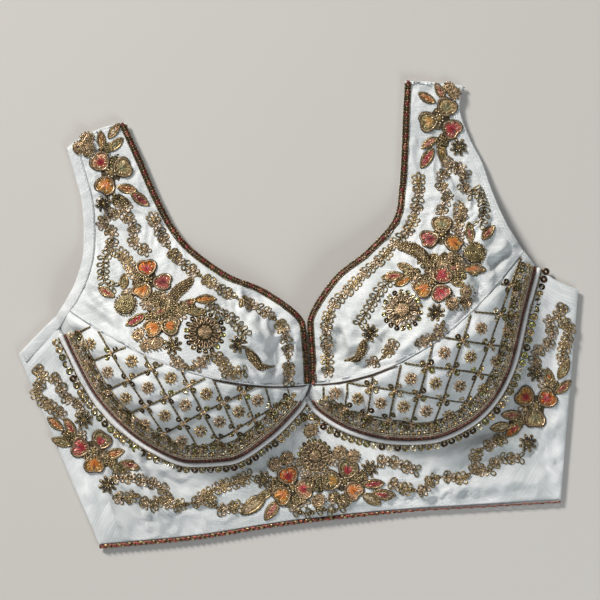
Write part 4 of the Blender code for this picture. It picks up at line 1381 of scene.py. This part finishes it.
# Where each motif lies. A flower: its middle, then each petal's place with its inner and outer dye.
# A leaf: place, direction, inner and outer dye, size. A coil, disc, medallion, bugle flower or cluster:
# place and size. A horn: line and width. A bed: place, length, width, direction. A vine: line and pattern.
motifs = {
    "right": {
        "flowers": [
            (-135, 127, [
                (-143, 137, "red", "peach"), (-125.5, 130, "moss", "gold"),
                (-141, 117.5, "orange", "amber")]),
            (-115, 38, [
                (-115, 48, "red", "orange"), (-103.5, 35, "darkRed", "rose"), (-120, 30, "orange", "amber")]),
            (-107, 3, [(-114, 0, "orange", "amber"), (-100, 0, "orange", "moss")]),
        ],
        "leaves": [
            (-140, 154, 88, "amber", "peach", 1.0), (-129, 160, 45, "pale", "peach", 1.0),
            (-129, 149, 36, "moss", "gold", 1.05), (-124, 113, -17, "orange", "peach", 1.1),
            (-115, 104, -43, "darkRed", "rose", 1.2), (-134, 39, 80, "moss", "gold", 1.05),
            (-149, 33, 142, "red", "peach", 1.1), (-127, 8, 205, "red", "rose", 1.2),
            (-108, 12, 20, "red", "peach", 1.05), (-71, 18, 3, "orange", "amber", 1.2),
            (-85, 16, 30, "red", "peach", 1.0), (-79, 9, 0, "moss", "gold", 1.05),
            (-90, 28, 35, "pinkGold", "gold", 0.9),
        ],
        "coils": [
            (-158, 150, 1.05), (-151, 156, 1.15), (-151, 147, 1.1), (-125, -4, 1.1), (-120, -12, 1.1),
            (-112, -12, 1.1),
        ],
        "discs": [(-134, 21, 1.02)],
        "medallions": [(-74, -8, 1.0)],
        "bugles": [(-144, 103, 0.95), (-100, -15, 1.0), (-49, -20, 1.0)],
        "horns": [
            ([(-80, 36), (-85, 31), (-93, 26), (-99, 17), (-104, 8)], 10.5),
            ([(-43, -24), (-38, -33), (-33, -40), (-23, -41)], 8.0),
        ],
        "beds": [
            (-109, 22, 26, 12, -35), (-96, 12, 18, 12, 10), (-112, 10, 16, 8, 0), (-133, 132, 20, 9, 60),
            (-131, 104, 16, 9, -30), (-121, 40, 16, 10, 60), (-84, 12, 12, 8, 0), (-137, 147, 12, 7, 20),
        ],
        "clusters": [
            (-132, 95, 1.25), (-126, 99, 1.0), (-92, 8, 1.1), (-99, 20, 1.1), (-90, 14, 1.0), (-113, 18, 1.1),
            (-104, 25, 1.0), (-127, 46, 1.1), (-97, 3, 1.0), (-118, 20, 1.0), (-132, 30, 0.9),
        ],
        "vines": [
            ([(-135, 96), (-147, 88), (-139, 78), (-142, 70)], "pf"),
            ([(-128, 92), (-122, 83), (-124, 72), (-115, 62)], "pf"),
            ([(-140, 66), (-149, 58), (-150, 42), (-143, 36)], "pp"),
            ([(-135, 62), (-131, 58), (-128, 50)], "gf"),
            ([
                (-106, 87), (-97, 64), (-90, 53), (-78, 41), (-65, 30), (-51, 19), (-38, 11), (-23, 1),
                (-13, -12), (-11, -26), (-12, -42), (-13, -54)], "gfppfsp"),
            ([(-70, 14), (-62, 7), (-52, 0), (-43, -12)], "pp"),
            ([(-101, -24), (-96, -31), (-87, -34), (-78, -30), (-70, -25)], "sffs"),
            ([(-68, -26), (-62, -34), (-60, -42), (-48, -42)], "pfg"),
        ],
    },
    "left": {
        "flowers": [
            (130, 140, [(137, 149, "moss", "gold"), (121, 139, "amber", "moss"), (139, 131, "red", "rose")]),
            (121, 47, [
                (122, 56, "moss", "gold"), (110.5, 45, "darkRed", "rose"), (129, 40, "orange", "amber")]),
            (108, 11, [
                (100, 7, "orange", "amber"), (117, 16, "red", "rose"), (114, 1, "red", "rose")]),
        ],
        "leaves": [
            (122, 158, 144, "orange", "peach", 1.05), (133, 162, 112, "rose", "peach", 1.0),
            (120, 122, 205, "rose", "peach", 1.05), (117, 110, 229, "red", "rose", 1.25),
            (129, 113, -91, "amber", "moss", 1.1), (143, 47, 95, "rose", "moss", 1.1),
            (157, 45, 44, "red", "peach", 1.15), (78, 19, 176, "red", "peach", 1.2),
            (89, 25, 144, "moss", "gold", 1.05), (86, 14, 198, "orange", "amber", 1.05),
            (142, 18, 6, "orange", "peach", 1.3), (126, 20, 30, "rose", "peach", 1.0),
            (128, 8, -30, "moss", "gold", 0.9),
        ],
        "coils": [
            (144.5, 159, 1.0), (140.5, 164, 0.9), (122, -7, 1.15), (131, -8, 1.15), (134.5, 0, 1.15),
        ],
        "discs": [(144, 30, 1.05)],
        "medallions": [(82, -8, 1.0)],
        "bugles": [(143, 116, 0.95), (108, -13, 1.0), (55, -23, 1.0)],
        "horns": [
            ([(85, 42), (94, 40), (102, 34), (106, 27), (105, 18)], 11.5),
            ([(50, -28), (47, -36), (42, -42), (33, -42)], 8.4),
        ],
        "beds": [
            (110, 27, 22, 13, -20), (124, 28, 20, 11, 0), (104, 14, 18, 9, 30), (128, 14, 18, 10, 0),
            (129, 141, 18, 9, 70), (131, 122, 14, 9, 60), (120, 50, 14, 8, 30), (93, 20, 14, 8, 0),
        ],
        "clusters": [
            (134, 102, 1.25), (131, 106, 1.0), (138, 64, 1.25), (113, 28, 1.1), (121, 28, 1.1), (97, 14, 1.1),
            (108, 20, 1.0), (127, 13, 1.1), (120, 22, 1.0), (133, 22, 1.0), (128, 30, 0.9), (134, 46, 1.0),
        ],
        "vines": [
            ([(130, 98), (125, 90), (129, 78), (123, 66)], "pf"),
            ([(137, 100), (146, 97), (142, 87), (148, 78)], "pf"),
            ([(151, 82), (157, 72), (156, 60), (152, 53)], "pp"),
            ([(138, 68), (137, 60), (133, 52)], "gf"),
            ([
                (108, 94), (107, 84), (103, 70), (97, 57), (83, 45), (72, 35), (56, 24), (43, 13), (29, 2),
                (22, -13), (20, -30), (19, -50)], "gpfppfs"),
            ([(75, 16), (66, 9), (58, -2), (48, -14)], "pp"),
            ([(112, -22), (105, -31), (90, -35)], "sff"),
            ([(74, -31), (68, -38), (62, -44), (54, -46)], "pfgs"),
        ],
    },
    "band": {
        "flowers": [
            (-174, -92, [
                (-184.5, -88, "red", "rose"), (-167, -84, "red", "moss"), (-175, -102.5, "orange", "amber")]),
            (-20, -139, [
                (-22, -129, "red", "orange"), (-29, -144, "orange", "amber"), (-10.5, -141, "red", "peach")]),
            (22, -139, [
                (12, -137, "amber", "moss"), (28.5, -147, "orange", "peach"), (26, -129.5, "red", "moss")]),
            (181, -96, [
                (173, -88, "red", "amber"), (190.5, -91, "red", "orange"), (179, -106.5, "moss", "gold")]),
        ],
        "leaves": [
            (-202, -67, 136, "orange", "peach", 1.1), (-190.5, -71, 112, "red", "peach", 1.15),
            (-199, -82, 155, "moss", "gold", 1.1), (-158, -96, 10, "orange", "peach", 1.15),
            (-146, -106, -22, "red", "peach", 1.15), (-157, -107, -32, "gold", "moss", 1.1),
            (-52, -149, 212, "gold", "pinkGold", 1.65), (-38, -155, 228, "rose", "peach", 1.3),
            (-42, -142, 205, "moss", "gold", 1.0), (45, -143.5, -1, "red", "rose", 1.15),
            (42, -155, -36, "pale", "gold", 1.15), (52, -153, -14, "red", "pinkGold", 1.3),
            (161, -101.5, 172, "rose", "peach", 1.15), (151, -110, 183, "pale", "gold", 1.15),
            (161, -113, 216, "red", "orange", 1.2), (194, -75, 95, "orange", "moss", 1.05),
            (206, -70, 52, "moss", "gold", 1.15), (204, -84, 32, "red", "peach", 1.1),
        ],
        "coils": [
            (0, -95.5, 1.15), (-31, -119, 1.15), (-21, -115.5, 1.1), (21, -115.5, 1.1), (31, -120, 1.15),
            (0, -152, 1.15),
        ],
        "discs": [],
        "medallions": [(1, -116, 0.86)],
        "bugles": [
            (-179, -66, 1.0), (-166, -120, 1.0), (-42, -130, 0.95), (43, -131, 0.95), (171, -125, 1.0),
            (184, -70, 1.0),
        ],
        "horns": [],
        "beds": [
            (0, -138, 22, 14, 0), (-18, -150, 20, 8, 10), (18, -152, 20, 8, -10), (-32, -135, 14, 10, 0),
            (34, -136, 14, 9, 0), (-176, -94, 16, 10, 0), (-163, -102, 18, 9, -25), (178, -98, 16, 10, 0),
            (-192, -79, 14, 8, -40), (195, -82, 14, 8, 40), (166, -107, 16, 8, 10),
        ],
        "clusters": [
            (0, -133, 1.1), (-8, -130, 1.0), (8, -130, 1.0), (-14, -121, 1.0), (15, -121, 1.0),
            (-34, -137, 1.0), (36, -137, 1.0), (-167, -97, 1.1), (-183, -78, 1.0), (172, -98, 1.1),
            (190, -80, 1.1), (-12, -151, 1.0), (12, -151, 1.0), (-20, -154, 1.0), (20, -155, 1.0),
        ],
        "vines": [
            ([(-213, -20), (-208, -29), (-214, -41), (-203, -54), (-197, -59)], "pfg"),
            ([(-201, -28), (-195, -36), (-192, -47), (-182, -52), (-181, -60)], "pf"),
            ([(-162, -115), (-146, -117), (-135, -121), (-123, -128), (-120, -140)], "pf"),
            ([
                (-160, -128), (-156, -133), (-144, -131), (-134, -141), (-123, -135), (-114, -143),
                (-102, -142), (-88, -141), (-79, -150), (-66, -149)], "pfpgs"),
            ([(-92, -138), (-77, -132), (-65, -130), (-53, -126)], "fgp"),
            ([(-20, -157), (-10, -161), (0, -158.5), (10, -161), (20, -158)], "ps"),
            ([(50, -126), (60, -127), (69, -131), (79, -136)], "pf"),
            ([
                (58, -143), (67, -149), (82, -153), (91, -146), (101, -144), (114, -147), (126, -141),
                (129, -129), (142, -122), (150, -119)], "pfpgs"),
            ([(129, -141), (137, -144), (148, -135), (163, -136)], "pfp"),
            ([(212, -18), (207, -28), (214, -38), (208, -54), (206, -62)], "pfg"),
            ([(199, -30), (200, -40), (194, -50), (184, -55), (184, -62)], "fp"),
        ],
    },
}
sewers = {
    "beds": bed, "flowers": flower, "leaves": leaf, "coils": coil, "discs": disc, "medallions": medallion,
    "bugles": lambda x, y, size: bugleFlower(x, y, 11.0, size), "horns": horn,
    "clusters": lambda x, y, size: cluster(x, y, 31.0 * x, 6, size), "vines": vine,
}


def layMotifs():
    for part in motifs.values():
        for kind, sewOn in sewers.items():
            for places in part[kind]:
                sewOn(*places)
    print("motifs laid")


# The quilted lattice
def latticeWork():
    for side in sides:
        lower = lowerCup(side)
        grid = panelGrid(lower, np.linspace(0.0, 1.0, 101), np.linspace(0.0, 1.0, 61))
        flatX, flatY = grid[..., 0].ravel(), grid[..., 1].ravel()
        arm, centre, seam, foot = (d.ravel() for d in edgeDistances(grid))

        def room(x, y):                   # how far inside the quilted part a place is
            k = int(np.argmin((flatX - x) ** 2 + (flatY - y) ** 2))
            if math.hypot(flatX[k] - x, flatY[k] - y) > 3.0:
                return -1.0, -1.0
            fromSides = min(arm[k] - lattice["clearArm"], centre[k] - lattice["clearCentre"])
            return min(foot[k] - lattice["clearFoot"], fromSides), seam[k]

        for line in latticeLines(side):
            run = []
            for x, y in [*evenly(line, pitch=1.0), (1e3, 1e3)]:
                inner, top = room(x, y)
                if inner > 0.0 and top > 0.5:
                    run.append((x, y))
                    continue
                if len(run) > 7:
                    couch(
                        "lattice_cords", run, 0.75, 0.35, lattice["cord"], 1.2, "bronze",
                        pitch=lattice["twist"], tip="olive", band=lattice["twist"],
                    )
                run = []
        for i in range(*lattice["rows"]):
            for j in range(*lattice["columns"]):
                x, y = latticePoint(side, i, j)
                inner, top = room(x, y)
                if inner > 1.0 and top > 3.0:
                    for turn in (20.0, 110.0, 200.0, 290.0):
                        place = around(x, y, 1.5, turn)
                        sew("bead_grains", "grain", *place, turn, (1.3, 1.4, 1.4), "pinkGold", lift=0.7)
                        sequin(*around(x, y, 4.7, turn + 22.0), 1.12)
                    sew("bead_seeds", "seed", x, y, 0.0, (1.5, 1.5, 1.5), "gold", lift=0.9)
                x, y = latticePoint(side, i + 0.5, j + 0.5)
                inner, top = room(x, y)
                if inner > 2.0 and top > 4.0:
                    grainFlower(x, y, 17.0 * i + 9.0 * j, 1.22, ("pinkGold", "gold")[(i + j) % 2])


# Trims
trim = {
    "starts": {"right": 0.06, "left": 0.0}, "pipingStarts": {"right": 0.05, "left": 0.0},
    "pipingOut": 2.0, "pipingAcross": 3.4, "rustCordOut": -1.6,
    "goldCordsOut": ((-3.5, "pinkGold"), (-4.8, "pale")),
    "grainRows": (5.4, 9.9, 14.2), "grainEvery": 2.1, "braidRows": (7.6, 12.1), "ringEvery": 4.9,
    "lastCordOut": -14.7, "outerCordOut": 4.6, "sequinEvery": 6.3, "sequinOut": 8.1, "sequinsCloser": 2.0,
    "sequinSize": 1.36,
    "centreSequins": ((0.5, -78.5, "cream"), (-4.0, -85.5, "olive"), (5.0, -85.5, "olive")),
}
neckSet = {"inset": 3.0, "width": 4.0, "cords": (("outer", 0.75), ("inner", 5.2)), "blockEvery": 8.6}
hemSet = {
    "in": 1.8, "above": 2.85, "apart": 0.85, "strand": 1.95, "twist": 9.5, "step": 0.8, "thins": 0.52,
    "thinsAt": 55.0, "thinsOver": 16.0,
}


def beside(side, distance, first=0.0, last=1.0):     # a line that keeps its distance from a cup's edge
    line = movedOut(evenly(cupEdge[side], count=cup["edgeSteps"] + 1), side, distance)
    return line[int(cup["edgeSteps"] * first):int(cup["edgeSteps"] * last) + 1]


def cupBraid(side, first):
    line = beside(side, trim["rustCordOut"], first, 0.985)
    couch("cup_braid", line, 0.85, 0.4, 2.6, 1.4, "rust", hatch=0.12, corners=7, tip="umber", band=3.4)
    for distance, dye in trim["goldCordsOut"]:
        couch("cup_braid", beside(side, distance, first, 0.98), 0.75, 0.4, 1.2, 1.1, dye, pitch=2.8)
    for distance in trim["grainRows"]:
        row = evenly(beside(side, -distance, first + 0.01, 0.965), pitch=trim["grainEvery"])
        for n, (x, y) in enumerate(row):
            shade = ("rust", "olive", "umber", "gold", "bronze")[n % 5]
            sew("packed_beads", "grain", x, y, 50.0 * n, (0.9, 0.9, 1.0), shade, lift=0.3)
    for k, distance in enumerate(trim["braidRows"]):
        row = evenly(beside(side, -distance, first + 0.01, 0.965), pitch=trim["ringEvery"])
        for n, (x, y) in enumerate(row):
            if (n + k) % 3:
                # Pale sequins here are painted glints too.
                shade = ("gold", "olive", "pale", "moss", "gold", "bronze")[(2 * n + k) % 6]
                sequin(x, y, 1.1, shade, 0.9, 1.8)
            else:
                shade = ("gold", "pinkGold")[n % 2]
                sew("braid_rings", "ring", x, y, 0.0, (1.2, 1.2, 1.2), shade, shade, lift=0.6, level=1.5)
                sew("bead_seeds", "seed", x, y, 0.0, (1.2, 1.2, 1.2), "pale", lift=0.6, level=1.5)
    line = beside(side, trim["lastCordOut"], first + 0.01, 0.95)
    couch("cup_braid", line, 0.75, 0.3, 1.0, 1.0, "olive", pitch=2.8)


def cupPiping(side):
    path = evenly(beside(side, trim["pipingOut"], trim["pipingStarts"][side], 0.992), pitch=1.2)
    count = np.arange(len(path))
    lift = 0.12 * np.sin(count * 1.9) + 0.08 * np.sin(count * 0.7)
    spots = placed(np.array([(x, y, layHeight(x) + 1.5 + e) for (x, y), e in zip(path, lift)]))
    normals = np.tile((0.0, 0.0, 1.0), (len(spots), 1))
    across = trim["pipingAcross"]
    cordAlong(f"cupPiping_{side}", spots, normals, across, across, "white", corners=10)


def outerSequins(side, first):            # a cord and a line of sequins outside the piping
    line = beside(side, trim["outerCordOut"], first, 0.985)
    couch("cup_braid", line, 0.75, 0.35, 1.2, 1.1, "bronze", pitch=2.8, tip="gold", band=2.8)
    along = np.linspace(0.0, 1.0, cup["edgeSteps"] + 1)
    out = trim["sequinOut"] - trim["sequinsCloser"] * np.exp(-((along - 0.62) / 0.2) ** 2)
    for x, y in evenly(beside(side, out[:, None], first + 0.01, 0.955), pitch=trim["sequinEvery"]):
        sequin(x, y, trim["sequinSize"], level=1.0)


def cupTrims():
    for side in sides:
        first = trim["starts"][side]
        cupBraid(side, first)
        cupPiping(side)
        outerSequins(side, first)
    for x, y, shade in trim["centreSequins"]:
        sequin(x, y, 1.3, shade)


def seamCord():                           # the dark cord that covers the cross seam by the centre front
    for side, first in (("right", 0.60), ("left", 0.62)):
        lower = lowerCup(side)
        line = [lower(u, 0.012)[:2] for u in np.linspace(first, 0.985, 60)]
        couch("lattice_cords", line, 0.8, 0.5, 1.2, 1.1, "umber", pitch=2.6)


def facingStitches():                     # the thread that holds the armhole facings down
    for side in sides:
        upper = upperPanel(side)
        line = []
        for t in np.linspace(0.02, facing["ends"][side] - 0.02, 90):
            away = facing["width"][side] - facing["stitchIn"]
            line.append(upper(inset(upper, 0.0, t, away), t)[:2])
        path = evenly(line, pitch=facing["stitchEvery"])
        run = np.gradient(path, axis=0)
        for (x, y), (dx, dy) in zip(path, run):
            sew("facing_stitches", "grain", x, y, math.degrees(math.atan2(dy, dx)), (0.9, 0.5, 0.5), "white")


def neckTrims():
    for side in sides:
        upper = upperPanel(side)
        lines = {}
        for name, distance in (("middle", neckSet["inset"]), *neckSet["cords"]):
            lines[name] = [
                upper(inset(upper, 1.0, t, distance), t)[:2] for t in np.linspace(0.004, 0.994, 120)
            ]
        piece = f"neckTrim_{side}"
        couch(piece, lines["middle"], 0.9, 0.3, neckSet["width"], 1.0, "umber", hatch=0.05, corners=8)
        for name, dye in (("outer", "umber"), ("inner", "bronze")):
            couch(piece, lines[name], 0.75, 0.35, 1.1, 1.1, dye, pitch=2.8, tip="olive", band=2.8)
        path = evenly(lines["middle"], pitch=0.25 * neckSet["blockEvery"])
        run = np.gradient(path, axis=0)
        for k, (x, y) in enumerate(path):
            turn = math.degrees(math.atan2(run[k, 1], run[k, 0]))
            if k % 4 == 0:
                shade = ("darkRed", "rust", "darkRed", "darkRed", "umber")[(k // 4) % 5]
                sew(f"neckSatin_{side}", "block", x, y, turn, (1.0, 0.95, 1.0), shade, lift=0.4)
                continue
            for n in (-1.25, 0.0, 1.25):
                shade = ("olive", "bronze", "umber", "gold", "bronze", "darkRed")[(3 * k + int(2.0 * n)) % 6]
                sew(piece, "seed", *around(x, y, n, turn + 90.0), turn, (1.2, 1.05, 1.2), shade, lift=0.6)


def hemTrim():
    line = evenly(hemLine, pitch=hemSet["step"])
    reached = np.arange(len(line)) * hemSet["step"]
    slim = 1.0 - hemSet["thins"] / (1.0 + np.exp(-(line[:, 0] - hemSet["thinsAt"]) / hemSet["thinsOver"]))
    normals = np.tile((0.0, 0.0, 1.0), (len(line), 1))
    strands = (("hemTrim", 0.0, "darkRed", "rust", 1.0), ("hemTrimGold", math.pi, "gold", "umber", 2.2))
    for piece, strand, dye, tip, thinning in strands:
        turn = 2.0 * math.pi * reached / hemSet["twist"] + strand
        aside = line[:, 1] + hemSet["in"] + hemSet["apart"] * slim * np.cos(turn)
        height = hemSet["above"] + hemSet["apart"] * slim * np.sin(turn)
        points = np.stack([line[:, 0], aside, height], axis=1)
        thick = hemSet["strand"] * slim ** thinning
        cordAlong(piece, placed(points), normals, thick, thick, dye, hatch=0.14, corners=7, tip=tip, band=3.2)


# Making the blouse
tableTop = {"across": 4.0, "level": -0.0004, "colour": (0.56, 0.535, 0.50, 1.0)}


def addTable():
    bpy.ops.mesh.primitive_plane_add(size=tableTop["across"], location=(0.0, 0.0, tableTop["level"]))
    table = bpy.context.object
    table.name = "table"
    material, _, shader = newFinish("paleTable", Roughness=0.75)
    shader.inputs["Base Color"].default_value = tableTop["colour"]
    table.data.materials.append(material)


addCamera()
addLights()
addTable()
print("camera, lights and table set")
for side in sides:
    upperSheet(side)
    lowerSheet(side)
bandSheet()
backSheets()
facingSheets()
clothTree = BVHTree.FromPolygons(
    [Vector(p) for p in np.concatenate(draped["points"])],
    [tuple(f) for f in np.concatenate(draped["faces"]).tolist()],
)
print("cloth laid:", cuts)
layMotifs()
latticeWork()
cupTrims()
seamCord()
facingStitches()
neckTrims()
hemTrim()
for side in sides:
    joinStitched(f"cupPiping_{side}", "piping", [f"cup_piping_{side}"])
    joinStitched(f"neckTrim_{side}", "zari", [f"neck_trim_{side}"])
    joinStitched(f"neckSatin_{side}", "satin")
joinStitched("cup_braid", "zari", ["cup_braid_right", "cup_braid_left"])
joinStitched("braid_rings", "zari")
joinStitched("hemTrim", "satin", ["hem_trim"])
joinStitched("hemTrimGold", "zari")
for piece in (
    "bead_loops", "cluster_loops", "bead_seeds", "packed_beads", "bead_grains", "vine_stems", "lattice_cords",
    "petal_rims", "coils", "shadePatches",
):
    joinStitched(piece, "zari")
joinStitched("satin_petals", "satin")
joinStitched("sequins", "sequin")
joinStitched("bugle_beads", "glass")
joinStitched("facing_stitches", "piping")
for name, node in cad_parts.items():
    if name.startswith(("hook_", "eye_")):
        node.data.materials.clear()
        node.data.materials.append(finishes["brass"])
